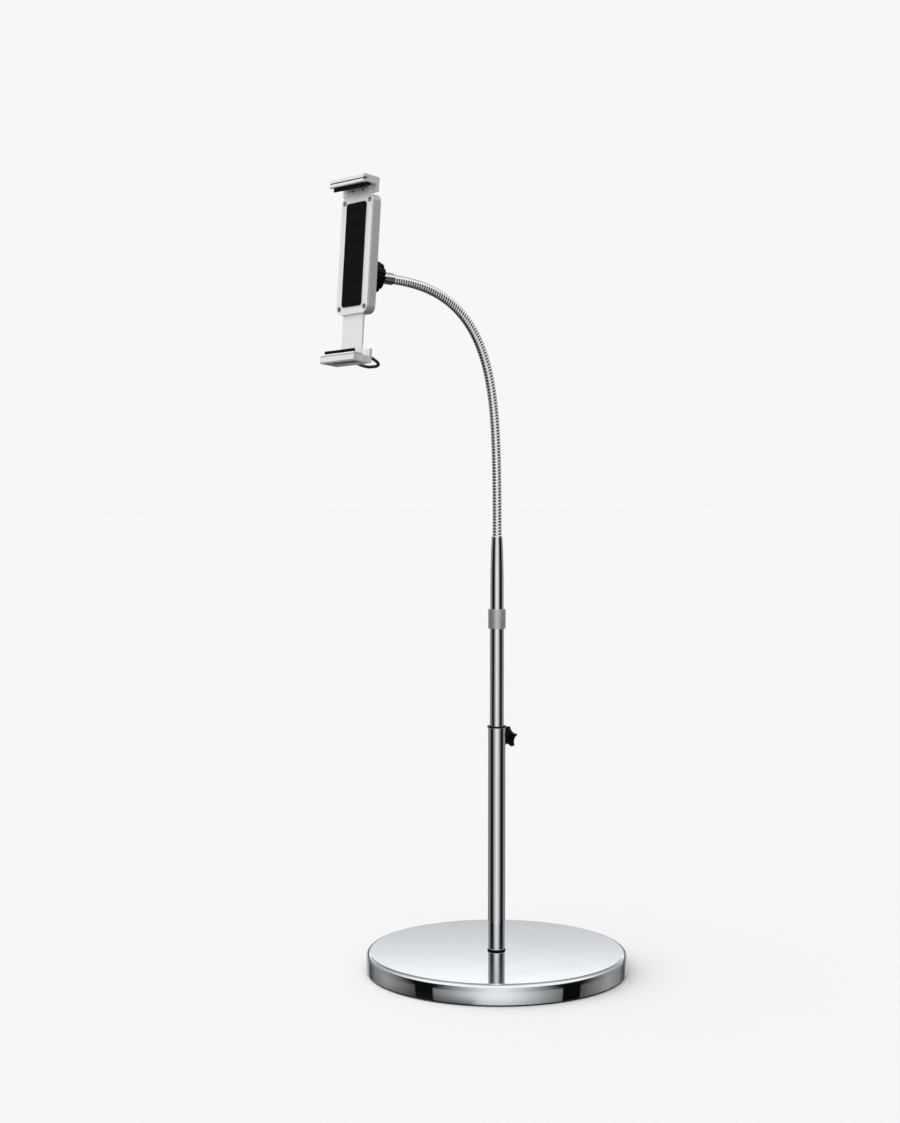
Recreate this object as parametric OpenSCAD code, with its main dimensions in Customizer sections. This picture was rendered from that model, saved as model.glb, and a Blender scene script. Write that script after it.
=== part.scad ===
// Adjustable floor stand for a tablet: weighted base, telescopic pole, flexible neck, sprung claw holder.
// Origin on the floor at the centre of the base, +Z up. The neck bends towards -Y and the holder faces -Y.

/* [Base] */
// Diameter of the base
base_d = 300; // [240:5:360]
// Height of the base above the floor
base_h = 24; // [20:1:34]
// Sheet thickness of the chromed cover
cover_wall = 1.2; // [0.8:0.1:2]
// Radius of the rounded rim
rim_r = 5; // [3:0.5:8]
// Height of the cover's lower edge above the floor
skirt_gap = 1.5; // [0.5:0.25:2.5]
// Thickness of the foam pad under the base
pad_t = 3; // [3:0.5:6]
// Diameter of the stud that carries the pole
stud_d = 12; // [8:1:14]
// Diameter of the stud's head
stud_head_d = 26; // [20:1:32]
// Thickness of the stud's head
stud_head_h = 5; // [3:0.5:6]
// Diameter of the spreader washer
washer_d = 40; // [36:1:60]
// Thickness of the spreader washer
washer_t = 3; // [2:0.5:4]

/* [Lower tube] */
// Diameter of the lower tube
tube_d = 20; // [18.5:0.5:24]
// Length of the lower tube
tube_len = 257; // [230:1:330]
// Wall of the lower tube
tube_wall = 1; // [0.8:0.1:1.2]
// Thickness of the rubber ring under the tube
gasket_h = 1.5; // [1:0.25:3]
// Diameter of the rubber ring under the tube
gasket_d = 22; // [20.5:0.5:28]
// Length of the threaded insert in the tube's foot
insert_len = 25; // [18:1:30]
// Thread engaged by the stud in the insert
stud_grip = 18; // [10:1:24]
// Diameter of the guide bush's lip
bush_lip_d = 22; // [20.5:0.5:28]
// Height of the guide bush's lip
bush_lip_h = 1.5; // [1:0.25:5]
// Length of the bush inside the tube
bush_len = 36; // [26:1:45]

/* [Inner tube] */
// Diameter of the sliding inner tube
inner_d = 16; // [14:0.5:16.5]
// Wall of the inner tube
inner_wall = 1; // [0.8:0.1:1.5]
// Length of the inner tube
inner_len = 244; // [225:1:246]
// Length of the inner tube between the bush and the collar
inner_show = 112; // [107:1:126]
// Length of the guide ring at the inner tube's foot
slider_h = 10; // [6:1:14]
// Depth of the plugs inside the inner tube
plug_len = 18; // [10:1:30]

/* [Clamp knob] */
// Diameter of the star knob
knob_d = 24.5; // [20:0.5:32]
// Thickness of the star knob
knob_t = 5.5; // [5:0.5:10]
// Arms of the star knob
knob_arms = 5; // [4:1:6]
// Radius of the hollows between the arms
knob_hollow_r = 8.7; // [6:0.1:9]
// Diameter of the knob's hub
hub_d = 12; // [10:0.5:14]
// Length of the knob's hub
hub_h = 3.5; // [1:0.5:5]
// Distance of the knob below the top of the lower tube
knob_drop = 13.5; // [12:0.5:18]
// Direction of the knob round the pole
knob_angle = 93; // [60:1:120]
// Diameter of the clamp screw
screw_d = 6; // [5:0.5:7]
// Diameter of the welded boss
boss_d = 10; // [9:0.5:13]
// Length of the boss outside the tube
boss_h = 3; // [2:0.5:6]

/* [Collar and ferrule] */
// Diameter of the knurled collar
collar_d = 20; // [19.5:0.5:24]
// Height of the knurled collar
collar_h = 22; // [20:1:30]
// Diameter of the thread inside the collar
union_d = 17; // [16.8:0.1:18]
// Thickness of the collar's inner shoulder
shoulder_h = 2.4; // [1.5:0.1:3]
// Thickness of the friction ring
ring_h = 1.5; // [1:0.1:2]
// Thickness of the flange on the top insert
flange_h = 4; // [2.5:0.5:6]
// Diameter of the ferrule
ferrule_d = 15.4; // [14:0.1:16]
// Length of the ferrule above the collar
ferrule_len = 83; // [60:1:110]
// Length of the ferrule's tapered end
ferrule_taper = 38; // [15:1:45]
// Diameter of the ferrule at its tip
ferrule_tip_d = 12; // [11.6:0.1:13]
// Lightening bore of the ferrule
ferrule_bore = 8; // [6:0.5:9]

/* [Flexible neck] */
// Diameter over the ribs of the neck
neck_d = 10.4; // [8:0.1:10.6]
// Bore of the neck
neck_bore = 5; // [3:0.5:6]
// Length of the neck from the ferrule to the tip sleeve
neck_len = 387; // [330:1:420]
// Spacing of the ribs
rib_pitch = 3.5; // [2.3:0.1:4]
// Depth of the grooves between the ribs
rib_depth = 0.5; // [0.2:0.1:0.9]
// Turn of the neck from upright, at full bend
neck_turn = 94.5; // [40:0.5:100]
// Distance along the neck to the middle of the bend
bend_mid = 255; // [180:1:280]
// Spread of the bend along the neck
bend_spread = 48; // [25:1:50]
// Length of the neck held in the ferrule and in the sleeve
neck_grip = 10; // [8:1:16]
// Largest bend at one joint between neck sections
section_bend = 12; // [4:1:14]

/* [Ball joint] */
// Diameter of the ball
ball_d = 17; // [14:0.5:18]
// Wall of the ball's seat
seat_wall = 1.4; // [1:0.1:2]
// Wall of the socket round the seat
socket_wall = 3.45; // [2.5:0.05:5]
// Half angle of the socket's mouth
mouth_angle = 62; // [58:1:64]
// Diameter of the stud behind the ball
ball_neck_d = 7; // [5:0.5:8]
// Distance from the ball's centre to the sleeve
ball_neck_len = 14; // [13:0.5:20]
// Thread of the ball stud in the sleeve
ball_thread_d = 6; // [4:0.5:7]
// Diameter of the tip sleeve
sleeve_d = 13; // [12.4:0.1:14]
// Solid length of the tip sleeve
sleeve_web = 6; // [4:0.5:10]
// Wall of the lock nut outside the socket
nut_wall = 3.5; // [2.5:0.25:5]
// Length of the lock nut
nut_len = 11; // [8:0.5:12]
// Grip hollows round the lock nut
nut_hollows = 12; // [6:1:18]
// Thickness of the socket's flange
socket_flange_h = 4; // [2.5:0.5:6]
// Diameter of the pivot boss
pivot_d = 14; // [11:0.5:16]
// Diameter of the pivot screw
pivot_screw_d = 5; // [3:0.5:6]
// Diameter of the pivot washer
pivot_washer_d = 16.5; // [16.5:0.5:18]
// Thickness of the pivot washer
pivot_washer_t = 1.2; // [0.8:0.1:1.5]

/* [Holder] */
// Backward tilt of the holder
holder_tilt = 7.2; // [0:0.1:12]
// Roll of the holder about its facing direction
holder_roll = 3.1; // [-4:0.1:4]
// Gap between the two claws, pad to pad
grip = 178.5; // [170:0.5:200]
// Width of the holder's body
body_w = 48; // [46:1:60]
// Body below the ball
body_low = 45; // [40:1:48]
// Body above the ball
body_high = 82; // [76:0.5:82.5]
// Depth of the back shell
shell_t = 9.5; // [9:0.25:12]
// Wall of the back shell
shell_wall = 2.2; // [1.6:0.1:2.4]
// Wall of the rails and of the screw bosses in the shell
rib_wall = 1.6; // [1.2:0.1:1.7]
// Corner radius of the body
body_r = 8; // [4:0.5:10]
// Thickness of the main plate
plate_t = 2.5; // [2:0.25:4]
// Thickness of the rubber sheet
sheet_t = 1.5; // [1:0.25:3]
// Width of the rubber sheet
sheet_w = 30; // [20:1:32]
// Width of the plate's tongue
tongue_w = 34; // [28:1:44]
// Diameter of the small screws
small_screw_d = 3; // [2:0.25:3]

/* [Claws] */
// Width of the claws
claw_w = 53; // [49:1:70]
// Depth of the throat between the sheet and the lip pad
throat = 10.4; // [7:0.1:16]
// Thickness of the claw's lip
lip_t = 3; // [2:0.25:5]
// Thickness of the lower claw's shelf
shelf_t = 4.7; // [3:0.1:6]
// Thickness of the upper claw above its shelf face
crown_t = 7.7; // [6:0.1:9]
// Groove line of the upper lip, above the lip's edge
upper_line = 4.2; // [2:0.1:5]
// Groove line of the lower lip, below the lip's edge
lower_line = 2.2; // [2:0.1:5]
// Thickness of the claw's rear leg
leg_t = 3.5; // [2.5:0.25:5]
// Height of the claw's rear leg below its shelf
leg_h = 7.7; // [6:0.1:7.7]
// Thickness of the rubber under the shelf
pad_shelf_t = 1.5; // [1:0.25:2.5]
// Thickness of the rubber behind the lip
pad_lip_t = 2.1; // [1.5:0.1:4]
// Width of the rubber in the claws
pad_w = 46; // [30:1:48]
// Overlap of the rubber lip past the shelf pad
pad_overlap = 4; // [2:0.25:8]
// Depth of the hollow under the lower claw
hollow_h = 3; // [1:0.25:5]

/* [Sliding arm] */
// Width of the sliding arm
arm_w = 32; // [30:1:33]
// Thickness of the sliding arm
arm_t = 2.2; // [1.5:0.1:3]
// Top of the sliding arm above the ball
arm_top = 20; // [16:1:24]
// Diameter of the spring coil
spring_d = 4.2; // [3.6:0.1:4.4]
// Diameter of the spring wire
spring_wire = 0.8; // [0.5:0.1:1]
// Turns of the spring
spring_turns = 20; // [12:1:24]
// Offset of the spring from the middle
spring_x = 12; // [11.6:0.1:12.4]
// Height of the arm's spring post above the ball
post_low = 6; // [5:0.5:10]
// Height of the body's spring post above the ball
post_high = 75; // [66:0.5:75]
// Diameter of the spring posts
post_d = 2.4; // [1.6:0.1:2.6]
// Diameter of the pull handle's wire
wire_d = 3.4; // [2:0.1:4]
// Distance between the legs of the pull handle
handle_w = 30; // [28:1:36]
// Reach of the pull handle behind the claw
handle_len = 30; // [26:1:36]
// Bend radius of the pull handle
handle_r = 12; // [6:0.5:12]
// Droop of the pull handle behind the claw
handle_drop = 18; // [0:1:30]

/* [Clearances] */
// Radial clearance of turning and sliding fits
fit_run = 0.05; // [0.03:0.01:0.1]
// Radial clearance of pressed and screwed pieces
fit_press = 0.05; // [0.02:0.01:0.1]
// Clearance round loose pieces
fit_loose = 0.3; // [0.2:0.05:0.5]

/* [Hidden] */
$fn = 96;
base_r = base_d / 2;
pad_r = base_r - cover_wall - fit_loose;
cover_under = base_h - cover_wall;
stud_clear = 1;
stud_z = pad_t + stud_clear;
washer_top = stud_z + stud_head_h + washer_t;
foot_z = base_h + gasket_h;
tube_top = foot_z + tube_len;
tube_bore = tube_d - 2 * tube_wall;
bush_top = tube_top + bush_lip_h;
collar_z = bush_top + inner_show;
ring_z = collar_z + shoulder_h + fit_run;
union_z = ring_z + ring_h + fit_run;
inner_foot = union_z - inner_len;
inner_bore = inner_d - 2 * inner_wall;
swivel_z = union_z + flange_h;
collar_top = collar_z + collar_h;
ferrule_top = collar_top + ferrule_len;
knob_z = tube_top - knob_drop;
shoe_tip = inner_d / 2 + fit_run;
shoe_end = tube_d / 2;
boss_end = tube_d / 2 + boss_h;
hub_gap = 0.5;
hub_start = boss_end + hub_gap;
star_start = hub_start + hub_h;
knob_cap = 2;
screw_end = star_start + knob_t - knob_cap;
hollow_c = (knob_d + knob_hollow_r) / 2;

// Neck centreline: the turn follows a logistic curve and stays constant in the sleeve
NECK_SECTIONS = 7;
NECK_SIDES = 8;
NECK_STEPS = 400;
neck_step = neck_len / NECK_STEPS;
neck_straight = 12;
function bend_share(s) = 1 / (1 + exp((bend_mid - s) / bend_spread));
function neck_angle(s) =
    neck_turn * (bend_share(max(0, min(s, neck_len - neck_straight))) - bend_share(0));
NECK_LINE = [
    for (i = 0, y = 0, z = ferrule_top;
         i <= NECK_STEPS;
         y = y - neck_step * sin(neck_angle((i + 0.5) * neck_step)),
         z = z + neck_step * cos(neck_angle((i + 0.5) * neck_step)),
         i = i + 1)
        [0, y, z]
];
tip_angle = neck_angle(neck_len);
tip_axis = [0, -sin(tip_angle), cos(tip_angle)];
neck_end = NECK_LINE[NECK_STEPS];
ball_c = neck_end + (sleeve_web + ball_neck_len) * tip_axis;
function neck_point(s) =
    s <= 0 ? [0, 0, ferrule_top + s]
    : s >= neck_len ? neck_end + (s - neck_len) * tip_axis
    : let (i = floor(s / neck_step), f = s / neck_step - i)
      NECK_LINE[i] * (1 - f) + NECK_LINE[min(i + 1, NECK_STEPS)] * f;
function neck_ring(s, r) =
    let (a = neck_angle(s), c = neck_point(s))
    [for (k = [0:NECK_SIDES - 1])
        let (t = 360 * (k + 0.5) / NECK_SIDES)
        c + r * [cos(t), sin(t) * cos(a), sin(t) * sin(a)]];

// Ball joint radii and stations along the facing direction
ball_r = ball_d / 2;
seat_in = ball_r + fit_run;
seat_out = seat_in + seat_wall;
cavity_r = seat_out + fit_run;
socket_r = cavity_r + socket_wall;
socket_back = -5;
socket_web = 2.9;
flange_rim = 2.5;
nut_lip = 1.5;
flange_front = cavity_r + socket_web;
flange_back = flange_front - socket_flange_h;
flange_r = socket_r + flange_rim;
nut_back = socket_back - nut_lip;

// Holder stations along the facing direction
shell_back = flange_front + fit_run;
shell_front = shell_back + shell_t;
shell_floor = shell_back + shell_wall;
pivot_end = shell_floor + fit_run;
plate_front = shell_front + plate_t;
sheet_front = plate_front + sheet_t;
arm_front = shell_front - fit_loose;
arm_back = arm_front - arm_t;
lip_pad_in = sheet_front + throat;
lip_in = lip_pad_in + pad_lip_t;
lip_out = lip_in + lip_t;
grip_z = grip / 2;
shelf_z = grip_z + pad_shelf_t;
claw_top = shelf_z + crown_t;
claw_low = shelf_z + shelf_t + hollow_h;
head_h = 0.6 * small_screw_d;
head_r = 0.9 * small_screw_d;
screw_x = body_w / 2 - 1.5 * small_screw_d;
screw_z = 2.2 * small_screw_d;
claw_screw_x = 8;
claw_screw_z = shelf_z - leg_h / 2;
low_back = arm_back - leg_t;
handle_z = shelf_z - leg_h / 2;
handle_skin = 0.8;
lip_edge = 0.8;
lip_round = 1.2;
line_w = 0.8;
line_deep = 1.2;
pad_gap = 0.5;
screw_short = 0.3;
handle_in = leg_t - handle_skin;
spring_y = shell_floor + spring_d / 2 + fit_loose;
spring_hook = 6;
spring_low = post_low + spring_hook;
spring_high = post_high - spring_hook;

CHROME = "#d5d8dc";
SATIN = "#c4c6ca";
STEEL = "#9da1a6";
BLACK = "#1c1c1e";
RUBBER = "#262628";
NYLON = "#e6e4dc";
CEMENT = "#8f8d88";

// Tube or ring between two heights
module ring(z0, z1, r_out, r_in) {
    translate([0, 0, z0])
        difference() {
            cylinder(h = z1 - z0, r = r_out);
            translate([0, 0, -1])
                cylinder(h = z1 - z0 + 2, r = r_in);
        }
}

// Round bar between two heights
module bar(z0, z1, r) {
    translate([0, 0, z0])
        cylinder(h = z1 - z0, r = r);
}

// Rectangle with round corners, centred
module round_rect(w, h, r) {
    square([w - 2 * r, h], center = true);
    square([w, h - 2 * r], center = true);
    for (x = [-1, 1], y = [-1, 1])
        translate([x * (w / 2 - r), y * (h / 2 - r)])
            circle(r);
}

// Local Z points outwards along the clamp knob's axis
module at_knob() {
    translate([0, 0, knob_z])
        rotate([0, 0, knob_angle])
            rotate([0, 90, 0])
                children();
}

// Local Z follows the neck at its end, from the end face
module at_tip() {
    translate(neck_end)
        rotate([tip_angle, 0, 0])
            children();
}

// Holder frame: X across, -Y facing, Z up, from the ball's centre
module at_holder() {
    translate(ball_c)
        rotate([-holder_tilt, 0, 0])
            rotate([0, -holder_roll, 0])
                children();
}

// Local Z points along the holder's facing direction
module facing() {
    at_holder()
        rotate([90, 0, 0])
            children();
}

// Flat outline of the holder, from one facing station to another
module slab(d0, d1) {
    facing()
        translate([0, 0, d0])
            linear_extrude(d1 - d0)
                children();
}

// Side profile of a claw, drawn as facing station and height, across a width
module across(w) {
    at_holder()
        rotate([90, 0, -90])
            linear_extrude(w, center = true)
                children();
}

module base_outline(r, h, fillet) {
    square([r - fillet, h]);
    square([r, h - fillet]);
    translate([r - fillet, h - fillet])
        circle(fillet);
}

module base_cover() {
    color(CHROME)
        rotate_extrude()
            intersection() {
                difference() {
                    base_outline(base_r, base_h, rim_r);
                    base_outline(base_r - cover_wall, cover_under, rim_r - cover_wall);
                }
                translate([stud_d / 2 + fit_loose, skirt_gap])
                    square([base_r, base_h]);
            }
}

module base_weight() {
    color(CEMENT)
        difference() {
            rotate_extrude()
                polygon([
                    [0, pad_t], [pad_r, pad_t], [pad_r, cover_under - rim_r],
                    [pad_r - rim_r, cover_under], [0, cover_under]
                ]);
            bar(0, base_h, stud_d / 2 + fit_loose);
            bar(0, washer_top, washer_d / 2 + fit_loose);
        }
}

module base_pad() {
    color(RUBBER)
        bar(0, pad_t, pad_r);
}

module base_stud() {
    color(STEEL) {
        bar(stud_z, stud_z + stud_head_h, stud_head_d / 2);
        bar(stud_z, foot_z + stud_grip, stud_d / 2);
    }
}

module stud_washer() {
    color(STEEL)
        ring(washer_top - washer_t, washer_top, washer_d / 2, stud_d / 2 + fit_press);
}

module pole_gasket() {
    color(RUBBER)
        ring(base_h, foot_z, gasket_d / 2, stud_d / 2 + fit_loose);
}

module lower_tube() {
    color(CHROME)
        difference() {
            ring(foot_z, tube_top, tube_d / 2, tube_bore / 2);
            at_knob()
                cylinder(h = tube_d, d = screw_d + 2 * fit_loose);
        }
}

module tube_insert() {
    color(STEEL)
        ring(foot_z, foot_z + insert_len, tube_bore / 2 - fit_press, stud_d / 2 + fit_press);
}

module guide_bush() {
    color(BLACK)
        difference() {
            union() {
                ring(tube_top - bush_len, tube_top, tube_bore / 2 - fit_press, inner_d / 2 + fit_run);
                ring(tube_top, bush_top, bush_lip_d / 2, inner_d / 2 + fit_run);
            }
            at_knob()
                cylinder(h = tube_d, d = screw_d + 2 * fit_loose);
        }
}

module clamp_boss() {
    color(CHROME)
        difference() {
            at_knob()
                ring(0, boss_end, boss_d / 2, screw_d / 2 + fit_run);
            bar(knob_z - boss_d, knob_z + boss_d, tube_d / 2 + fit_press);
        }
}

module star_knob() {
    color(BLACK)
        at_knob()
            difference() {
                union() {
                    bar(hub_start, star_start, hub_d / 2);
                    translate([0, 0, star_start])
                        linear_extrude(knob_t)
                            difference() {
                                circle(d = knob_d);
                                for (i = [0:knob_arms - 1])
                                    rotate(360 / knob_arms * i)
                                        translate([hollow_c, 0])
                                            circle(knob_hollow_r);
                            }
                }
                bar(hub_start - 1, screw_end, screw_d / 2 + fit_press);
            }
}

module knob_screw() {
    color(STEEL)
        at_knob()
            bar(shoe_end + fit_run, screw_end, screw_d / 2);
}

module clamp_shoe() {
    color(NYLON)
        at_knob()
            bar(shoe_tip, shoe_end, screw_d / 2);
}

module inner_tube() {
    color(CHROME)
        ring(inner_foot, union_z, inner_d / 2, inner_bore / 2);
}

module slider_plug() {
    slider_cap = 2;
    color(BLACK) {
        bar(inner_foot, inner_foot + plug_len, inner_bore / 2 - fit_press);
        ring(inner_foot, inner_foot + slider_h, tube_bore / 2 - fit_run, inner_d / 2 + fit_press);
        bar(inner_foot - slider_cap, inner_foot, tube_bore / 2 - fit_run);
    }
}

module top_insert() {
    color(STEEL)
        difference() {
            union() {
                bar(union_z - plug_len, union_z, inner_bore / 2 - fit_press);
                bar(union_z, swivel_z, union_d / 2);
            }
            bar(union_z - plug_len - 1, swivel_z + 1, ferrule_bore / 2);
        }
}

module friction_ring() {
    color(NYLON)
        ring(ring_z, ring_z + ring_h, union_d / 2, inner_d / 2 + fit_run);
}

module collar_nut() {
    edge = 0.6;
    color(STEEL)
        rotate_extrude()
            polygon([
                [inner_d / 2 + fit_run, collar_z], [collar_d / 2 - edge, collar_z],
                [collar_d / 2, collar_z + edge], [collar_d / 2, collar_top - edge],
                [collar_d / 2 - edge, collar_top], [union_d / 2 + fit_run, collar_top],
                [union_d / 2 + fit_run, collar_z + shoulder_h], [inner_d / 2 + fit_run, collar_z + shoulder_h]
            ]);
}

// Radius of the ferrule's ogive at a share of the taper, from its tip
function ogive(t) = ferrule_tip_d / 2 + (ferrule_d - ferrule_tip_d) / 2 * (1 - pow(1 - t, 2));

module neck_ferrule() {
    steps = 12;
    thread_short = 0.8;
    thread_top = collar_top - thread_short;
    seat_z = ferrule_top - neck_grip;
    color(CHROME)
        rotate_extrude()
            polygon(concat(
                [
                    [ferrule_bore / 2, swivel_z + fit_run], [union_d / 2, swivel_z + fit_run],
                    [union_d / 2, thread_top], [ferrule_d / 2, thread_top]
                ],
                [for (i = [steps:-1:0]) [ogive(i / steps), ferrule_top - ferrule_taper * i / steps]],
                [
                    [neck_d / 2 + fit_press, ferrule_top], [neck_d / 2 + fit_press, seat_z],
                    [ferrule_bore / 2, seat_z]
                ]
            ));
}

// One length of ribbed neck with its bore; the ends step back so that neighbours can bend
module neck_section(index) {
    first = index == 1;
    last = index == NECK_SECTIONS;
    length = neck_len / NECK_SECTIONS;
    crest = neck_d / 2;
    groove = crest - rib_depth;
    bore = neck_bore / 2;
    spare = 0.12;
    back_groove = groove * tan(section_bend / 2) + spare;
    back_bore = bore * tan(section_bend / 2) + spare;
    s0 = first ? 0 : (index - 1) * length + back_groove;
    s1 = last ? neck_len - neck_grip : index * length - back_groove;
    bore0 = first ? -neck_grip : (index - 1) * length + back_bore;
    bore1 = last ? neck_len : index * length - back_bore;
    ribs = round((s1 - s0) / rib_pitch);
    pitch = (s1 - s0) / ribs;
    bore_steps = 6;
    head = first ? [neck_ring(-neck_grip, crest), neck_ring(0, crest)] : [];
    tail = last ? [neck_ring(neck_len - neck_grip, crest), neck_ring(neck_len, crest)] : [];
    outer = concat(
        head,
        [for (i = [0:ribs - 1], half = [0, 1])
            if (!(first && i == 0 && half == 0))
                neck_ring(s0 + (i + half / 2) * pitch, half == 0 ? groove : crest)],
        last ? [] : [neck_ring(s1, groove)],
        tail
    );
    inner = [for (i = [bore_steps:-1:0]) neck_ring(bore0 + (bore1 - bore0) * i / bore_steps, bore)];
    rings = concat(outer, inner);
    count = len(rings);
    n = NECK_SIDES;
    faces = [
        for (i = [0:count - 1], k = [0:n - 1])
            let (j = (i + 1) % count, m = (k + 1) % n)
            each [[i * n + k, j * n + k, j * n + m], [i * n + k, j * n + m, i * n + m]]
    ];
    color(CHROME)
        polyhedron(points = [for (r = rings) each r], faces = faces, convexity = 8);
}

module tip_sleeve() {
    edge = 1.5;
    color(CHROME)
        at_tip()
            rotate_extrude()
                polygon([
                    [neck_d / 2 + fit_press, -neck_grip], [sleeve_d / 2, -neck_grip],
                    [sleeve_d / 2, sleeve_web - edge], [sleeve_d / 2 - edge, sleeve_web],
                    [ball_thread_d / 2 + fit_press, sleeve_web], [ball_thread_d / 2 + fit_press, 0],
                    [neck_d / 2 + fit_press, 0]
                ]);
}

module ball_stud() {
    thread_end = 0.5;
    color(CHROME)
        at_tip() {
            bar(thread_end, sleeve_web + 1, ball_thread_d / 2);
            bar(sleeve_web, sleeve_web + ball_neck_len, ball_neck_d / 2);
            translate([0, 0, sleeve_web + ball_neck_len])
                sphere(ball_r);
        }
}

// Cone that opens the back of the ball joint
module mouth() {
    reach = 20;
    translate([0, 0, -reach])
        cylinder(h = reach, r1 = reach * tan(mouth_angle), r2 = 0);
}

module ball_seat() {
    color(NYLON)
        facing()
            difference() {
                sphere(seat_out);
                sphere(seat_in);
                mouth();
            }
}

module socket() {
    color(BLACK)
        facing()
            difference() {
                union() {
                    bar(socket_back, flange_back, socket_r);
                    bar(flange_back, flange_front, flange_r);
                    bar(flange_front, pivot_end, pivot_d / 2);
                }
                sphere(cavity_r);
                mouth();
                bar(cavity_r + 1, pivot_end + 1, pivot_screw_d / 2 + fit_press);
            }
}

module lock_nut() {
    outer = socket_r + nut_wall;
    hollow_r = 2;
    lip_in_r = socket_r - 2;
    color(BLACK)
        facing()
            difference() {
                bar(nut_back, nut_back + nut_len, outer);
                bar(socket_back - fit_run, nut_back + nut_len + 1, socket_r + fit_run);
                bar(nut_back - 1, socket_back, lip_in_r);
                for (i = [0:nut_hollows - 1])
                    rotate(360 / nut_hollows * i)
                        translate([outer + hollow_r / 2, 0, nut_back - 1])
                            cylinder(h = nut_len + 2, r = hollow_r);
            }
}

module pivot_screw() {
    pan_h = 2.4;
    pan_r = 0.9 * pivot_screw_d;
    tip_gap = 1.3;
    washer_front = pivot_end + pivot_washer_t;
    color(STEEL)
        facing() {
            bar(cavity_r + tip_gap, washer_front, pivot_screw_d / 2);
            bar(washer_front, washer_front + pan_h, pan_r);
        }
}

module pivot_washer() {
    color(STEEL)
        facing()
            ring(pivot_end, pivot_end + pivot_washer_t, pivot_washer_d / 2, pivot_screw_d / 2 + fit_press);
}

// Outline of the holder's body
module body_outline(inset) {
    translate([0, (body_high - body_low) / 2])
        round_rect(body_w - 2 * inset, body_high + body_low - 2 * inset, body_r - inset);
}

// Places of the screws that join the plate and the shell
module at_plate_screws() {
    for (x = [-1, 1], z = [screw_z - body_low, body_high - screw_z])
        translate([x * screw_x, z])
            children();
}

module back_shell() {
    root = 0.5;
    rail_in = arm_w / 2 + fit_loose;
    slot_back = arm_back - fit_loose;
    boss_r = small_screw_d / 2 + rib_wall;
    color(SATIN)
        difference() {
            union() {
                difference() {
                    slab(shell_back, shell_front)
                        body_outline(0);
                    slab(shell_floor, shell_front + 1)
                        body_outline(shell_wall);
                }
                slab(shell_floor - root, shell_front)
                    for (x = [-1, 1])
                        translate([x * (rail_in + rib_wall / 2), (body_high - body_low) / 2])
                            square([rib_wall, body_high + body_low - 2 * body_r], center = true);
                slab(shell_floor - root, shell_front)
                    at_plate_screws()
                        circle(boss_r);
            }
            slab(shell_back - 1, shell_floor + 1)
                circle(pivot_d / 2 + fit_run);
            slab(shell_floor + 1, shell_front + 1)
                at_plate_screws()
                    circle(small_screw_d / 2 + fit_press);
            slab(slot_back, shell_front + 1)
                translate([0, -body_low])
                    square([2 * rail_in, 6 * shell_wall], center = true);
        }
}

// Two through holes for a claw's screws
module claw_holes(height) {
    for (x = [-1, 1])
        translate([x * claw_screw_x, height])
            circle(small_screw_d / 2 + fit_press);
}

// Two sunk seats for the heads of a claw's screws
module claw_seats(height) {
    for (x = [-1, 1])
        translate([x * claw_screw_x, height])
            circle(head_r + fit_press);
}

module main_plate() {
    sink = small_screw_d / 2;
    color(SATIN)
        difference() {
            union() {
                slab(shell_front, plate_front)
                    body_outline(0);
                slab(shell_front, plate_front)
                    translate([-tongue_w / 2, body_high - body_r])
                        square([tongue_w, shelf_z - body_high + body_r - fit_press]);
            }
            slab(shell_front - 1, plate_front + 1)
                at_plate_screws()
                    circle(small_screw_d / 2 + fit_press);
            facing()
                at_plate_screws()
                    translate([0, 0, plate_front - sink])
                        cylinder(h = sink + 0.01, r1 = small_screw_d / 2, r2 = small_screw_d + fit_press);
            slab(shell_front - 1, plate_front + 1)
                claw_holes(claw_screw_z);
        }
}

module front_sheet() {
    color(RUBBER)
        slab(plate_front, sheet_front)
            translate([0, (body_high - body_low) / 2])
                round_rect(sheet_w, body_high + body_low - 2 * body_r, sheet_w / 10);
}

module plate_screws() {
    sink = small_screw_d / 2;
    color(STEEL)
        facing()
            at_plate_screws() {
                bar(shell_floor + sink, plate_front - sink / 2, small_screw_d / 2);
                translate([0, 0, plate_front - sink])
                    cylinder(h = sink, r1 = small_screw_d / 2 - fit_press, r2 = small_screw_d);
            }
}

// Wire post for one end of the spring, at a height, between two stations
module post(height, d0, d1) {
    facing()
        translate([spring_x, height, 0])
            bar(d0, d1, post_d / 2);
}

module top_post() {
    color(STEEL)
        post(post_high, shell_floor, spring_y + spring_d / 2);
}

module arm_post() {
    color(STEEL)
        post(post_low, spring_y - spring_wire, arm_back);
}

// Front of a claw's lip from its edge to its far end, with a groove line
function lip_front(edge, line, far, side) = [
    [lip_out - lip_edge, edge], [lip_out, edge + side * lip_edge],
    [lip_out, line - side * line_w / 2], [lip_out - line_deep, line - side * line_w / 2],
    [lip_out - line_deep, line + side * line_w / 2], [lip_out, line + side * line_w / 2],
    [lip_out, far - side * lip_round], [lip_out - lip_round, far]
];

module upper_claw() {
    leg_back = shell_front - leg_t;
    color(SATIN)
        difference() {
            across(claw_w)
                polygon(concat(
                    [
                        [leg_back, shelf_z - leg_h], [shell_front, shelf_z - leg_h], [shell_front, shelf_z],
                        [lip_in, shelf_z], [lip_in, grip_z]
                    ],
                    lip_front(grip_z, grip_z + upper_line, claw_top, 1),
                    [[leg_back + lip_round, claw_top], [leg_back, claw_top - lip_round]]
                ));
            slab(leg_back - 1, shell_front + 1)
                claw_holes(claw_screw_z);
            slab(leg_back - 1, leg_back + head_h)
                claw_seats(claw_screw_z);
        }
}

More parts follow.
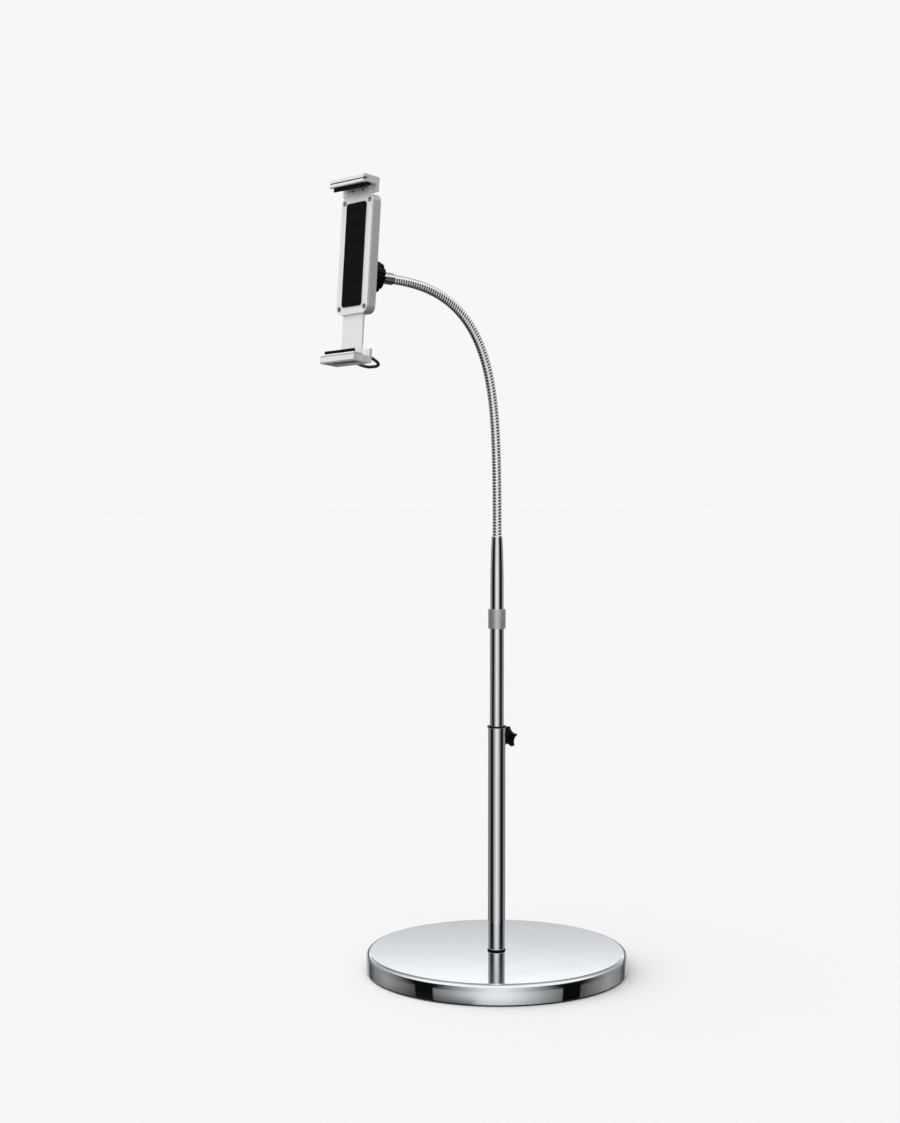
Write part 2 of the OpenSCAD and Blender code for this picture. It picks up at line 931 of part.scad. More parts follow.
// Rubber lining of a claw, for the upper side or, mirrored, the lower side
module claw_pad(side) {
    color(RUBBER)
        across(pad_w)
            mirror([0, side < 0 ? 1 : 0])
                polygon([
                    [sheet_front + pad_gap, grip_z], [lip_pad_in, grip_z],
                    [lip_pad_in, grip_z - pad_overlap], [lip_in, grip_z - pad_overlap],
                    [lip_in, shelf_z], [sheet_front + pad_gap, shelf_z]
                ]);
}

module upper_claw_pad() {
    claw_pad(1);
}

module lower_claw_pad() {
    claw_pad(-1);
}

// Two screws through a claw's leg, from one station to another, with the head sunk at the first
module claw_screws(d0, d1, height) {
    color(STEEL)
        facing()
            for (x = [-1, 1])
                translate([x * claw_screw_x, height, 0]) {
                    bar(d0, d0 + head_h, head_r);
                    bar(d0, d1, small_screw_d / 2);
                }
}

module upper_claw_screws() {
    claw_screws(shell_front - leg_t, plate_front - screw_short, claw_screw_z);
}

module lower_claw_screws() {
    claw_screws(low_back, arm_front - screw_short, -claw_screw_z);
}

module lower_arm() {
    length = arm_top + shelf_z - fit_press;
    color(SATIN)
        difference() {
            slab(arm_back, arm_front)
                translate([0, arm_top - length / 2])
                    round_rect(arm_w, length, arm_w / 10);
            slab(arm_back - 1, arm_front + 1)
                claw_holes(-claw_screw_z);
        }
}

// Local Z runs forwards along the pull handle's legs, from the claw's rear face
module at_handle() {
    facing()
        translate([0, -handle_z, low_back])
            rotate([-handle_drop, 0, 0])
                children();
}

module lower_claw() {
    low = -claw_low;
    wall = 3.5;
    draft = 1;
    grips = 8;
    grip_w = 1;
    color(SATIN)
        difference() {
            across(claw_w)
                polygon(concat(
                    [
                        [low_back, -shelf_z + leg_h], [arm_back, -shelf_z + leg_h], [arm_back, -shelf_z],
                        [lip_in, -shelf_z], [lip_in, -grip_z]
                    ],
                    lip_front(-grip_z, -grip_z - lower_line, low, -1),
                    [[low_back + lip_round, low], [low_back, low + lip_round]]
                ));
            across(claw_w - 2 * wall)
                polygon([
                    [arm_back, low - 1], [lip_out - wall, low - 1],
                    [lip_out - wall - draft, low + hollow_h], [arm_back + draft, low + hollow_h]
                ]);
            slab(low_back - 1, arm_back + 1)
                claw_holes(-claw_screw_z);
            slab(low_back - 1, low_back + head_h)
                claw_seats(-claw_screw_z);
            at_handle()
                for (x = [-1, 1])
                    translate([x * handle_w / 2, 0, 0])
                        bar(-wire_d, handle_in + fit_press, wire_d / 2 + fit_press);
            for (x = [-1, 1], i = [1:grips])
                slab(low_back + 2 * i * grip_w, low_back + (2 * i + 1) * grip_w)
                    translate([x * claw_w / 2, low + shelf_t / 2])
                        square([grip_w, 3 * shelf_t], center = true);
        }
}

// Extension spring: one unbroken wire with straight ends beside its posts
SPRING_RINGS = 8;
SPRING_SIDES = 6;
spring_coil_r = (spring_d - spring_wire) / 2;
spring_end_x = spring_x + (post_d + spring_wire) / 2 + fit_press;
spring_steps = spring_turns * SPRING_RINGS;
function spring_coil(i) =
    [spring_x + spring_coil_r * cos(360 * i / SPRING_RINGS),
     spring_low + (spring_high - spring_low) * i / spring_steps,
     spring_y + spring_coil_r * sin(360 * i / SPRING_RINGS)];
SPRING_LINE = concat(
    [[spring_end_x, post_low, spring_y]],
    [for (i = [0:spring_steps]) spring_coil(i)],
    [[spring_end_x, post_high, spring_y]]
);
spring_gap = min([
    for (i = [0:SPRING_RINGS], j = [i + SPRING_RINGS - 1:i + SPRING_RINGS + 1])
        norm(spring_coil(i) - spring_coil(j))
]) - spring_wire;
echo(spring_self_gap = spring_gap);
function unit(v) = v / norm(v);

module clamp_spring() {
    last = len(SPRING_LINE) - 1;
    n = SPRING_SIDES;
    rings = [
        for (i = [0:last])
            let (
                t = unit(SPRING_LINE[min(i + 1, last)] - SPRING_LINE[max(i - 1, 0)]),
                side = unit(cross(t, [1, 0.13, 0.07])),
                up = cross(t, side)
            )
            [for (k = [0:n - 1])
                SPRING_LINE[i] + spring_wire / 2 * (cos(360 * k / n) * side + sin(360 * k / n) * up)]
    ];
    walls = [
        for (i = [0:last - 1], k = [0:n - 1])
            let (m = (k + 1) % n)
            each [[i * n + k, (i + 1) * n + k, (i + 1) * n + m], [i * n + k, (i + 1) * n + m, i * n + m]]
    ];
    caps = [
        for (k = [1:n - 2])
            each [[0, k, k + 1], [last * n, last * n + k + 1, last * n + k]]
    ];
    color(STEEL)
        facing()
            polyhedron(points = [for (r = rings) each r], faces = concat(walls, caps), convexity = 10);
}

module pull_handle() {
    x = handle_w / 2;
    back = wire_d / 2 - handle_len;
    color(BLACK)
        at_handle() {
            for (side = [-1, 1]) {
                translate([side * x, 0, 0])
                    bar(back + handle_r, handle_in, wire_d / 2);
                translate([side * (x - handle_r), 0, back + handle_r])
                    rotate([90, 0, 0])
                        rotate([0, 0, side > 0 ? -90 : 180])
                            rotate_extrude(angle = 90)
                                translate([handle_r, 0])
                                    circle(wire_d / 2);
            }
            translate([handle_r - x, 0, back])
                rotate([0, 90, 0])
                    cylinder(h = 2 * (x - handle_r), d = wire_d);
        }
}

base_cover();
base_weight();
base_pad();
base_stud();
stud_washer();
pole_gasket();
lower_tube();
tube_insert();
guide_bush();
clamp_boss();
star_knob();
knob_screw();
clamp_shoe();
inner_tube();
slider_plug();
top_insert();
friction_ring();
collar_nut();
neck_ferrule();
neck_section(1);  // neck_section_1
neck_section(2);  // neck_section_2
neck_section(3);  // neck_section_3
neck_section(4);  // neck_section_4
neck_section(5);  // neck_section_5
neck_section(6);  // neck_section_6
neck_section(7);  // neck_section_7
tip_sleeve();
ball_stud();
ball_seat();
socket();
lock_nut();
pivot_screw();
pivot_washer();
back_shell();
main_plate();
front_sheet();
plate_screws();
top_post();
upper_claw();
upper_claw_pad();
upper_claw_screws();
lower_arm();
lower_claw();
lower_claw_pad();
lower_claw_screws();
arm_post();
clamp_spring();
pull_handle();
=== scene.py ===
"""Looks of an adjustable tablet floor stand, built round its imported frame.

A weighted chrome base carries a telescopic pole with a star knob, a knurled collar, a ribbed flexible neck and a
sprung claw holder. Sizes in the classes are millimetres; the meshes are metres, in the frame of the solids.
"""

import logging
import math
from dataclasses import dataclass, field
from enum import Enum
from typing import Callable, Optional, Sequence, Union

import bmesh
import bpy
from mathutils import Matrix, Vector


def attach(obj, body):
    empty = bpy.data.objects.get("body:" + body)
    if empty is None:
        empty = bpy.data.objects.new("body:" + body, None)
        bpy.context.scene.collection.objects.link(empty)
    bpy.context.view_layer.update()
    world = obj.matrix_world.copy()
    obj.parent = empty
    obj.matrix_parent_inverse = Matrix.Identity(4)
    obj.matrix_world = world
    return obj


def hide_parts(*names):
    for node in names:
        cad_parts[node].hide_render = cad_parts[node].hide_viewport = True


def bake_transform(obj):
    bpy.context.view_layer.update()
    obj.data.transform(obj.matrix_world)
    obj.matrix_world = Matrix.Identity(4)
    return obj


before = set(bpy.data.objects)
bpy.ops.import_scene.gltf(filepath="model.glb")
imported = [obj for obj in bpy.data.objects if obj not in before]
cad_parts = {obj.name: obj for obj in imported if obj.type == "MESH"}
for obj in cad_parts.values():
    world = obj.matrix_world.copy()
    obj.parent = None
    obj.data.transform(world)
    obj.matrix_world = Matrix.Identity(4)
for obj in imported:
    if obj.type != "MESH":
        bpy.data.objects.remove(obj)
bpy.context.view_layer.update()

LOG = logging.getLogger("stand")
MM = 0.001
# Mesh attribute: above 0 it marks worn edges, below 0 painted shade in grooves and hollows.
WEAR_AND_SHADE = "wear"
NEAR = 0.01
DEGREES = 180.0 / math.pi
QUARTER = math.pi / 2
ORIGIN = (0.0, 0.0, 0.0)
UP = (0.0, 0.0, 1.0)
MADE: dict[str, bpy.types.Material] = {}

Colour = tuple[float, float, float]
Corner = tuple[float, float, float]
Point = tuple[float, float, float]
Span = tuple[float, float]
Stops = Sequence[tuple[float, float]]
Geom = Sequence[Union[bmesh.types.BMVert, bmesh.types.BMEdge, bmesh.types.BMFace]]


class Signal:
    """A shader socket that takes part in arithmetic; each operation adds a Math node."""

    def __init__(self, graph: "Graph", socket: bpy.types.NodeSocket) -> None:
        """Keep the socket and the graph that it belongs to."""
        self.graph = graph
        self.socket = socket

    def _math(self, operation: str, first: "Operand", second: "Operand") -> "Signal":
        """Add a Math node for one operation on two operands."""
        return self.graph.node("ShaderNodeMath", {"operation": operation}, {0: first, 1: second})

    def __add__(self, other: "Operand") -> "Signal":
        """Signal plus operand."""
        return self._math("ADD", self, other)

    def __radd__(self, other: "Operand") -> "Signal":
        """Operand plus signal."""
        return self._math("ADD", other, self)

    def __sub__(self, other: "Operand") -> "Signal":
        """Signal minus operand."""
        return self._math("SUBTRACT", self, other)

    def __rsub__(self, other: "Operand") -> "Signal":
        """Operand minus signal."""
        return self._math("SUBTRACT", other, self)

    def __neg__(self) -> "Signal":
        """Signal with its sign turned."""
        return self._math("SUBTRACT", 0.0, self)

    def __mul__(self, other: "Operand") -> "Signal":
        """Signal times operand."""
        return self._math("MULTIPLY", self, other)

    def __rmul__(self, other: "Operand") -> "Signal":
        """Operand times signal."""
        return self._math("MULTIPLY", other, self)


Operand = Union[Signal, float]


class Graph:
    """A node tree with one way to add any node."""

    def __init__(self, tree: bpy.types.NodeTree) -> None:
        """Clear the tree."""
        self.tree = tree
        tree.nodes.clear()

    def node(
        self,
        kind: str,
        settings: Optional[dict] = None,
        inputs: Optional[dict] = None,
        output: Union[int, str] = 0,
    ) -> Signal:
        """Add a node.

        Args:
            kind: Blender's node type.
            settings: properties that are set first; "stops" fills a colour ramp.
            inputs: values or signals by socket.
            output: the socket that is handed back.

        Returns:
            The chosen output as a signal.
        """
        made = self.tree.nodes.new(kind)
        for key, value in (settings or {}).items():
            if key == "stops":
                self._fill_ramp(made, value)
            else:
                setattr(made, key, value)
        for key, value in (inputs or {}).items():
            if isinstance(value, Signal):
                self.tree.links.new(value.socket, made.inputs[key])
            else:
                made.inputs[key].default_value = value
        return Signal(self, made.outputs[output]) if len(made.outputs) else Signal(self, made.inputs[0])

    @staticmethod
    def _fill_ramp(ramp: bpy.types.ShaderNode, stops: Stops) -> None:
        """Give a colour ramp its grey stops.

        Args:
            ramp: the ramp's node.
            stops: position and level of each stop.
        """
        elements = ramp.color_ramp.elements
        while len(elements) < len(stops):
            elements.new(1.0)
        for element, (position, level) in zip(elements, stops):
            element.position = position
            element.color = (level, level, level, 1.0)

    def ramp(self, signal: Signal, stops: Stops) -> Signal:
        """Curve through stops of a signal, held at its ends.

        Args:
            signal: the signal that is looked up.
            stops: positions, in the signal's own unit, with the level at each.

        Returns:
            The level.
        """
        first, last = stops[0][0], stops[-1][0]
        peak = max(level for _, level in stops)
        shares = [((spot - first) / (last - first), level / peak) for spot, level in stops]
        place = self.node("ShaderNodeMapRange", {}, {"Value": signal, "From Min": first, "From Max": last})
        return self.node("ShaderNodeValToRGB", {"stops": shares}, {"Fac": place}) * peak

    def place(self, stretch: Point = (1.0, 1.0, 1.0)) -> Signal:
        """Object coordinates, stretched by a factor along each axis."""
        spot = self.node("ShaderNodeTexCoord", output="Object")
        return self.node("ShaderNodeMapping", {}, {"Vector": spot, "Scale": stretch})

    def noise(self, scale: float, detail: float = 2.0, stretch: Point = (1.0, 1.0, 1.0)) -> Signal:
        """Cloudy noise from 0 to 1 at a scale per metre."""
        spot = self.place(stretch)
        return self.node("ShaderNodeTexNoise", {}, {"Vector": spot, "Scale": scale, "Detail": detail})

    def cells(self, scale: float) -> Signal:
        """Distance to the nearest cell centre at a scale per metre."""
        return self.node("ShaderNodeTexVoronoi", {}, {"Vector": self.place(), "Scale": scale}, "Distance")

    def window(self, signal: Signal, low: float, high: float) -> Signal:
        """Smooth step of a signal from 0 at low to 1 at high."""
        return self.node(
            "ShaderNodeMapRange",
            {"interpolation_type": "SMOOTHSTEP"},
            {"Value": signal, "From Min": low, "From Max": high},
        )

    def dot(self, sight: Signal, towards: Point) -> Signal:
        """Share of a direction that points one way."""
        return self.node("ShaderNodeVectorMath", {"operation": "DOT_PRODUCT"}, {0: sight, 1: towards}, "Value")

    def larger(self, first: Operand, second: Operand) -> Signal:
        """The larger of two values."""
        return self.node("ShaderNodeMath", {"operation": "MAXIMUM"}, {0: first, 1: second})

    def between(self, share: Signal, first: Operand, second: Operand) -> Signal:
        """Value between two by a share."""
        return first * (1.0 - share) + second * share

    def blend(self, share: Signal, first: Colour, second: Colour) -> Signal:
        """Colour between two by a share."""
        return self.node(
            "ShaderNodeMix",
            {"data_type": "RGBA"},
            {0: share, 6: (*first, 1.0), 7: (*second, 1.0)},
            2,
        )

    def shaded(self, colour: Signal, share: Signal) -> Signal:
        """Colour darkened to a share of itself."""
        return self.node(
            "ShaderNodeMix",
            {"data_type": "RGBA", "blend_type": "MULTIPLY"},
            {0: 1.0, 6: colour, 7: share},
            2,
        )

    def edges(self) -> Signal:
        """Share of edge marking that the mesh carries: above 0 worn edges, below 0 painted shade in a groove or a
        hollow.
        """
        return self.node("ShaderNodeAttribute", {"attribute_name": WEAR_AND_SHADE}, {}, "Fac")

    def clean(self) -> Signal:
        """Share of the colour that the painted shade in grooves and hollows leaves."""
        return 1.0 - self.window(-self.edges(), 0.0, 1.0)

    def bump(self, height: Signal, depth: float, strength: float) -> Signal:
        """Normal of a height pattern.

        Args:
            height: pattern from 0 to 1.
            depth: depth in millimetres.
            strength: share of the effect.

        Returns:
            A normal for the shader.
        """
        return self.node(
            "ShaderNodeBump", {}, {"Height": height, "Distance": depth * MM, "Strength": strength}
        )

    def surface(self, constants: dict, varying: dict) -> None:
        """Finish a material with one Principled shader.

        Args:
            constants: values set on the shader's own sockets.
            varying: signals by socket.
        """
        shader = self.node("ShaderNodeBsdfPrincipled", {}, {**constants, **varying})
        self.node("ShaderNodeOutputMaterial", {}, {"Surface": shader})


@dataclass(frozen=True)
class Finish:
    """A surface finish with its colour and gloss.

    Attributes:
        name: name of the material.
        slot: slot of the record that the finish stands for; not used.
        tint: main colour.
        worn: colour of marks and worn edges.
        rough: roughness of the clean surface.
        haze: roughness that marks add.
        sheen: strength of the reflection on a surface that isn't metal.
        metal: share of metal in the surface.
    """

    name: str
    slot: str
    tint: Colour
    worn: Colour
    rough: float
    haze: float
    sheen: float = 0.5
    metal: float = 1.0

    def material(self) -> bpy.types.Material:
        """The finish's material, made once.

        Returns:
            The material.
        """
        if self.name not in MADE:
            made = bpy.data.materials.new(self.name)
            made.use_nodes = True
            self.shade(Graph(made.node_tree))
            made.diffuse_color = (*self.tint, 1.0)
            MADE[self.name] = made
        return MADE[self.name]

    def shade(self, graph: Graph) -> None:
        """Fill the material's node tree."""
        raise NotImplementedError


class Polished(Finish):
    """Bright chrome plate with faint hand marks and polishing lines."""

    LINE_HAZE = 0.02

    def shade(self, graph: Graph) -> None:
        """Mirror metal whose gloss breaks a little in patches, with painted shade in its grooves.

        Args:
            graph: the material's node tree.
        """
        marks = graph.window(graph.noise(scale=16.0, detail=5.0), 0.5, 0.78)
        lines = graph.noise(scale=1400.0, stretch=(1.0, 1.0, 0.04))
        graph.surface(
            {"Metallic": 1.0},
            {
                # The base colour carries painted shade where the mesh marks grooves.
                "Base Color": graph.shaded(graph.blend(marks, self.tint, self.worn), graph.clean()),
                "Roughness": self.rough + self.haze * marks + self.LINE_HAZE * lines,
            },
        )


class Satin(Finish):
    """Bead-blasted, anodised or silver-painted surface with a fine grain and brighter edges."""

    CLOUD_SHARE = 0.35
    RUB_SHARE = 0.6
    RUB_GLOSS = 0.12
    GRAIN_DEPTH = 0.04
    GRAIN_SHARE = 0.3

    def shade(self, graph: Graph) -> None:
        """Soft metal or silver paint with grain, clouds and polished edges, with painted shade in its grooves and
        hollows.

        Args:
            graph: the material's node tree.
        """
        clouds = graph.noise(scale=70.0, detail=4.0)
        grain = graph.noise(scale=3200.0, detail=1.0)
        patches = graph.window(graph.noise(scale=240.0, detail=3.0), 0.35, 0.65)
        rubbed = graph.window(graph.edges(), 0.0, 1.0) * patches
        colour = graph.blend(self.CLOUD_SHARE * clouds + self.RUB_SHARE * rubbed, self.tint, self.worn)
        graph.surface(
            {"Metallic": self.metal, "Specular IOR Level": self.sheen},
            {
                # The base colour carries painted shade where the mesh marks grooves and hollows.
                "Base Color": graph.shaded(colour, graph.clean()),
                "Roughness": self.rough + self.haze * clouds - self.RUB_GLOSS * rubbed,
                "Normal": graph.bump(grain, self.GRAIN_DEPTH, self.GRAIN_SHARE),
            },
        )


class Moulded(Finish):
    """Moulded plastic or rubber with a spark-eroded grain."""

    INDEX = 1.46
    DUST_SHARE = 0.5
    RUB_SHARE = 0.7
    RUB_GLOSS = 0.08
    GRAIN_DEPTH = 0.08
    GRAIN_SHARE = 0.35

    def shade(self, graph: Graph) -> None:
        """Moulding with grain, dust and lighter edges.

        Args:
            graph: the material's node tree.
        """
        dust = graph.window(graph.noise(scale=120.0, detail=5.0), 0.45, 0.8)
        grain = graph.noise(scale=2200.0, detail=3.0)
        rubbed = graph.edges() * graph.noise(scale=300.0, detail=3.0)
        graph.surface(
            {"Metallic": 0.0, "IOR": self.INDEX, "Specular IOR Level": self.sheen},
            {
                "Base Color": graph.blend(self.DUST_SHARE * dust + self.RUB_SHARE * rubbed, self.tint, self.worn),
                "Roughness": self.rough + self.haze * dust - self.RUB_GLOSS * rubbed,
                "Normal": graph.bump(grain, self.GRAIN_DEPTH, self.GRAIN_SHARE),
            },
        )


class Foamed(Finish):
    """Closed-cell foam."""

    CELL_SHARE = 0.5
    PATCH_SHARE = 0.5
    CELL_DEPTH = 0.4
    CELL_RELIEF = 0.7

    def shade(self, graph: Graph) -> None:
        """Matt foam with open skin cells.

        Args:
            graph: the material's node tree.
        """
        cells = graph.cells(700.0)
        patches = graph.noise(scale=40.0, detail=4.0)
        graph.surface(
            {"Metallic": 0.0},
            {
                "Base Color": graph.blend(self.CELL_SHARE * cells + self.PATCH_SHARE * patches, self.tint, self.worn),
                "Roughness": self.rough + self.haze * patches,
                "Normal": graph.bump(cells, self.CELL_DEPTH, self.CELL_RELIEF),
            },
        )


class Cast(Finish):
    """Cast cement with sand and air holes."""

    SAND_SHARE = 0.6
    PALE_SHARE = 0.2
    SAND_DEPTH = 0.5
    SAND_RELIEF = 0.6

    def shade(self, graph: Graph) -> None:
        """Sandy stone with darker pits.

        Args:
            graph: the material's node tree.
        """
        sand = graph.noise(scale=900.0, detail=6.0)
        pits = graph.window(graph.cells(160.0), 0.08, 0.2)
        graph.surface(
            {"Metallic": 0.0},
            {
                "Base Color": graph.blend(self.SAND_SHARE * sand * pits + self.PALE_SHARE, self.tint, self.worn),
                "Roughness": self.rough + self.haze * sand,
                "Normal": graph.bump(sand * pits, self.SAND_DEPTH, self.SAND_RELIEF),
            },
        )


class Plated(Finish):
    """Zinc-plated or blackened steel with drawing lines."""

    LINE_SHARE = 0.4
    RUB_SHARE = 0.5
    LINE_HAZE = 0.06
    LINE_DEPTH = 0.02
    LINE_RELIEF = 0.25

    def shade(self, graph: Graph) -> None:
        """Plate with stretched lines and small stains.

        Args:
            graph: the material's node tree.
        """
        lines = graph.noise(scale=800.0, detail=3.0, stretch=(1.0, 1.0, 0.08))
        stains = graph.window(graph.noise(scale=180.0, detail=4.0), 0.5, 0.75)
        rubbed = graph.edges() * graph.noise(scale=400.0)
        graph.surface(
            {"Metallic": 1.0},
            {
                "Base Color": graph.blend(self.LINE_SHARE * lines + self.RUB_SHARE * rubbed, self.tint, self.worn),
                "Roughness": self.rough + self.haze * stains + self.LINE_HAZE * lines,
                "Normal": graph.bump(lines, self.LINE_DEPTH, self.LINE_RELIEF),
            },
        )


class Finishes(Enum):
    """The stand's finishes."""

    CHROME = Polished("polished_chrome", "chrome", (0.81, 0.84, 0.87), (0.77, 0.80, 0.83), 0.02, 0.03)
    HOSE = Polished("hose_chrome", "neck_chrome", (0.94, 0.95, 0.97), (0.86, 0.87, 0.89), 0.05, 0.04)
    KNURL = Satin("knurled_metal", "knurled_alloy", (0.68, 0.68, 0.69), (0.78, 0.78, 0.79), 0.50, 0.06)
    SILVER = Satin(
        "silver_satin", "satin_alloy", (0.92, 0.92, 0.935), (0.95, 0.95, 0.96), 0.42, 0.08, metal=0.25
    )
    SHELL = Satin("shell_satin", "satin_plastic", (0.68, 0.68, 0.70), (0.78, 0.78, 0.80), 0.42, 0.10, metal=0.25)
    BLACK = Moulded(
        "black_moulding", "black_plastic", (0.0016, 0.0016, 0.0018), (0.008, 0.008, 0.008), 0.26, 0.12, sheen=0.10
    )
    RUBBER = Moulded(
        "black_rubber", "rubber", (0.0018, 0.0018, 0.0018), (0.008, 0.008, 0.008), 0.52, 0.14, sheen=0.08
    )
    NYLON = Moulded("natural_nylon", "nylon", (0.78, 0.76, 0.70), (0.84, 0.83, 0.80), 0.46, 0.12)
    FOAM = Foamed("foam_pad", "foam", (0.022, 0.022, 0.024), (0.07, 0.07, 0.075), 0.85, 0.10)
    CEMENT = Cast("cast_cement", "cement", (0.26, 0.25, 0.24), (0.44, 0.43, 0.41), 0.85, 0.10)
    STEEL = Plated("plated_steel", "steel", (0.52, 0.53, 0.55), (0.68, 0.69, 0.71), 0.24, 0.14)
    WIRE = Plated("coated_wire", "dark_wire", (0.075, 0.075, 0.08), (0.16, 0.16, 0.165), 0.34, 0.12)


def verts_of(geom: Geom) -> list[bmesh.types.BMVert]:
    """The vertices among what an operator hands back."""
    return [item for item in geom if isinstance(item, bmesh.types.BMVert)]


def edges_of(geom: Geom) -> list[bmesh.types.BMEdge]:
    """The edges among what an operator hands back."""
    return [item for item in geom if isinstance(item, bmesh.types.BMEdge)]


def rim_of(geom: Geom) -> list[bmesh.types.BMEdge]:
    """The open edges among what an operator hands back."""
    return [edge for edge in edges_of(geom) if len(edge.link_faces) == 1]


class Shape:
    """A solid under construction, in millimetres, in a frame of its own until it is placed."""

    MERGE = 1e-4
    WELD = 2e-3
    FLAT = 0.6
    FILLET_STEPS = 6

    def __init__(self, mesh: Optional[bpy.types.Mesh] = None) -> None:
        """Start empty, or from a mesh in metres.

        Args:
            mesh: the mesh to start from.
        """
        self.bm = bmesh.new()
        if mesh is not None:
            self.bm.from_mesh(mesh)
            self.scale(1.0 / MM)
        self.wear = self.bm.verts.layers.float.new(WEAR_AND_SHADE)

    @classmethod
    def turned(cls, corners: Sequence[Corner], steps: int = 128) -> "Shape":
        """Spin a closed profile round the local Z axis.

        Args:
            corners: radius, height and fillet of each corner, in order round the profile.
            steps: steps of the full turn.

        Returns:
            The turned solid.
        """
        shape = cls()
        shape._profile(corners)
        bmesh.ops.spin(
            shape.bm,
            geom=shape.bm.verts[:] + shape.bm.edges[:],
            cent=ORIGIN,
            axis=UP,
            dvec=ORIGIN,
            angle=math.tau,
            steps=steps,
            use_merge=True,
        )
        bmesh.ops.remove_doubles(shape.bm, verts=shape.bm.verts[:], dist=cls.MERGE)
        shape.outward()
        return shape

    def _profile(self, corners: Sequence[Corner]) -> None:
        """Draw a closed wire with rounded corners in the XZ plane.

        Args:
            corners: radius, height and fillet of each corner.
        """
        verts = [self.bm.verts.new((radius, 0.0, height)) for radius, height, _ in corners]
        for first, second in zip(verts, verts[1:] + verts[:1]):
            self.bm.edges.new((first, second))
        for vert, (_, _, fillet) in zip(verts, corners):
            if fillet > 0.0:
                bmesh.ops.bevel(
                    self.bm,
                    geom=[vert],
                    offset=fillet,
                    offset_type="OFFSET",
                    affect="VERTICES",
                    segments=self.FILLET_STEPS,
                    profile=0.5,
                    material=-1,
                )

    @classmethod
    def softened(cls, node: str, width: float) -> "Shape":
        """Copy of a node's solid with rounded edges.

        Args:
            node: name of the node.
            width: width of the rounding.

        Returns:
            The rounded copy.
        """
        shape = cls(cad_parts[node].data)
        bmesh.ops.remove_doubles(shape.bm, verts=shape.bm.verts[:], dist=cls.WELD)
        bmesh.ops.dissolve_limit(
            shape.bm,
            angle_limit=math.radians(cls.FLAT),
            verts=shape.bm.verts[:],
            edges=shape.bm.edges[:],
        )
        shape.bevel(width)
        return shape

    def bevel(
        self,
        width: float,
        segments: int = 3,
        angle: float = 28.0,
        where: Optional[Callable[[bmesh.types.BMEdge], bool]] = None,
    ) -> None:
        """Round the sharp edges and mark them as worn.

        Args:
            width: width of the rounding.
            segments: steps of the rounding.
            angle: edges sharper than this, in degrees, are rounded.
            where: keeps only some of those edges.
        """
        limit = math.radians(angle)
        sharp = [
            edge
            for edge in self.bm.edges
            if len(edge.link_faces) == 2
            and edge.calc_face_angle(0.0) > limit
            and (where is None or where(edge))
        ]
        made = bmesh.ops.bevel(
            self.bm,
            geom=sharp,
            offset=width,
            offset_type="OFFSET",
            affect="EDGES",
            segments=segments,
            profile=0.5,
            material=-1,
            clamp_overlap=True,
        )
        for vert in made["verts"]:
            vert[self.wear] = 1.0

    def scale(self, factor: float) -> None:
        """Scale the shape evenly about its origin."""
        bmesh.ops.scale(self.bm, vec=(factor, factor, factor), verts=self.bm.verts[:])

    def move(self, place: Matrix) -> None:
        """Move the shape by a matrix."""
        bmesh.ops.transform(self.bm, matrix=place, verts=self.bm.verts[:])

    def outward(self) -> None:
        """Turn all faces outwards."""
        bmesh.ops.recalc_face_normals(self.bm, faces=self.bm.faces[:])

    def mesh(self, name: str) -> bpy.types.Mesh:
        """Hand the shape over to a new mesh, in the shape's own unit.

        Args:
            name: name of the mesh.

        Returns:
            The mesh.
        """
        made = bpy.data.meshes.new(name)
        self.bm.to_mesh(made)
        self.bm.free()
        return made

    def piece(
        self,
        name: str,
        finish: Finishes,
        body: str,
        replaced: Sequence[str] = (),
        place: Optional[Matrix] = None,
        smooth: float = 32.0,
        seams: Optional[tuple[str, Vector, Vector]] = None,
    ) -> bpy.types.Object:
        """Turn the shape into a piece of the stand.

        Args:
            name: name of the piece.
            finish: its finish.
            body: the body that it rides on.
            replaced: the nodes that it stands for.
            place: matrix from the shape's frame to the stand's, in millimetres.
            smooth: edges sharper than this, in degrees, stay sharp.
            seams: second body with the start and the end of a bend between the two; when it is given, the piece is
                attached to no body, its place is baked into its mesh, and no bend is set up.

        Returns:
            The new object.
        """
        if place is not None:
            self.move(place)
        self.scale(MM)
        mesh = self.mesh(name)
        mesh.shade_smooth()
        mesh.set_sharp_from_angle(angle=math.radians(smooth))
        mesh.materials.append(finish.value.material())
        made = bpy.data.objects.new(name, mesh)
        bpy.context.scene.collection.objects.link(made)
        normals = made.modifiers.new("even_normals", "WEIGHTED_NORMAL")
        normals.keep_sharp = True
        if seams is None:
            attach(made, body)
        else:
            seams[1] * MM
            seams[2] * MM
            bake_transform(made)
        if replaced:
            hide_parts(*replaced)
        LOG.info("piece %s on %s, %d faces", name, body, len(mesh.polygons))
        return made


def cut(piece: bpy.types.Object, hole: Shape) -> None:
    """Drill a hole through a piece and keep the result in its mesh.

    Args:
        piece: the piece to drill.
        hole: the drill, in millimetres in the stand's frame.
    """
    hole.scale(MM)
    drill = bpy.data.objects.new("drill", hole.mesh("drill"))
    bpy.context.scene.collection.objects.link(drill)
    drilling = piece.modifiers.new("drilling", "BOOLEAN")
    drilling.object = drill
    drilling.operation = "DIFFERENCE"
    drilling.solver = "EXACT"
    normals = piece.modifiers["even_normals"]
    normals.show_viewport = False
    bpy.context.view_layer.update()
    graph = bpy.context.evaluated_depsgraph_get()
    drilled = bpy.data.meshes.new_from_object(piece.evaluated_get(graph), depsgraph=graph)
    piece.modifiers.remove(drilling)
    normals.show_viewport = True
    drilled.name = piece.name
    piece.data = drilled
    bpy.data.objects.remove(drill)


def dress(finish: Finishes, *nodes: str) -> None:
    """Give carried-over nodes their finish.

    Args:
        finish: the finish.
        nodes: names of the nodes.
    """
    for node in nodes:
        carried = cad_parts[node]
        if not carried.material_slots:
            carried.data.materials.append(None)
        for slot in carried.material_slots:
            slot.material = finish.value.material()
        LOG.info("node %s dressed as %s", node, finish.value.name)


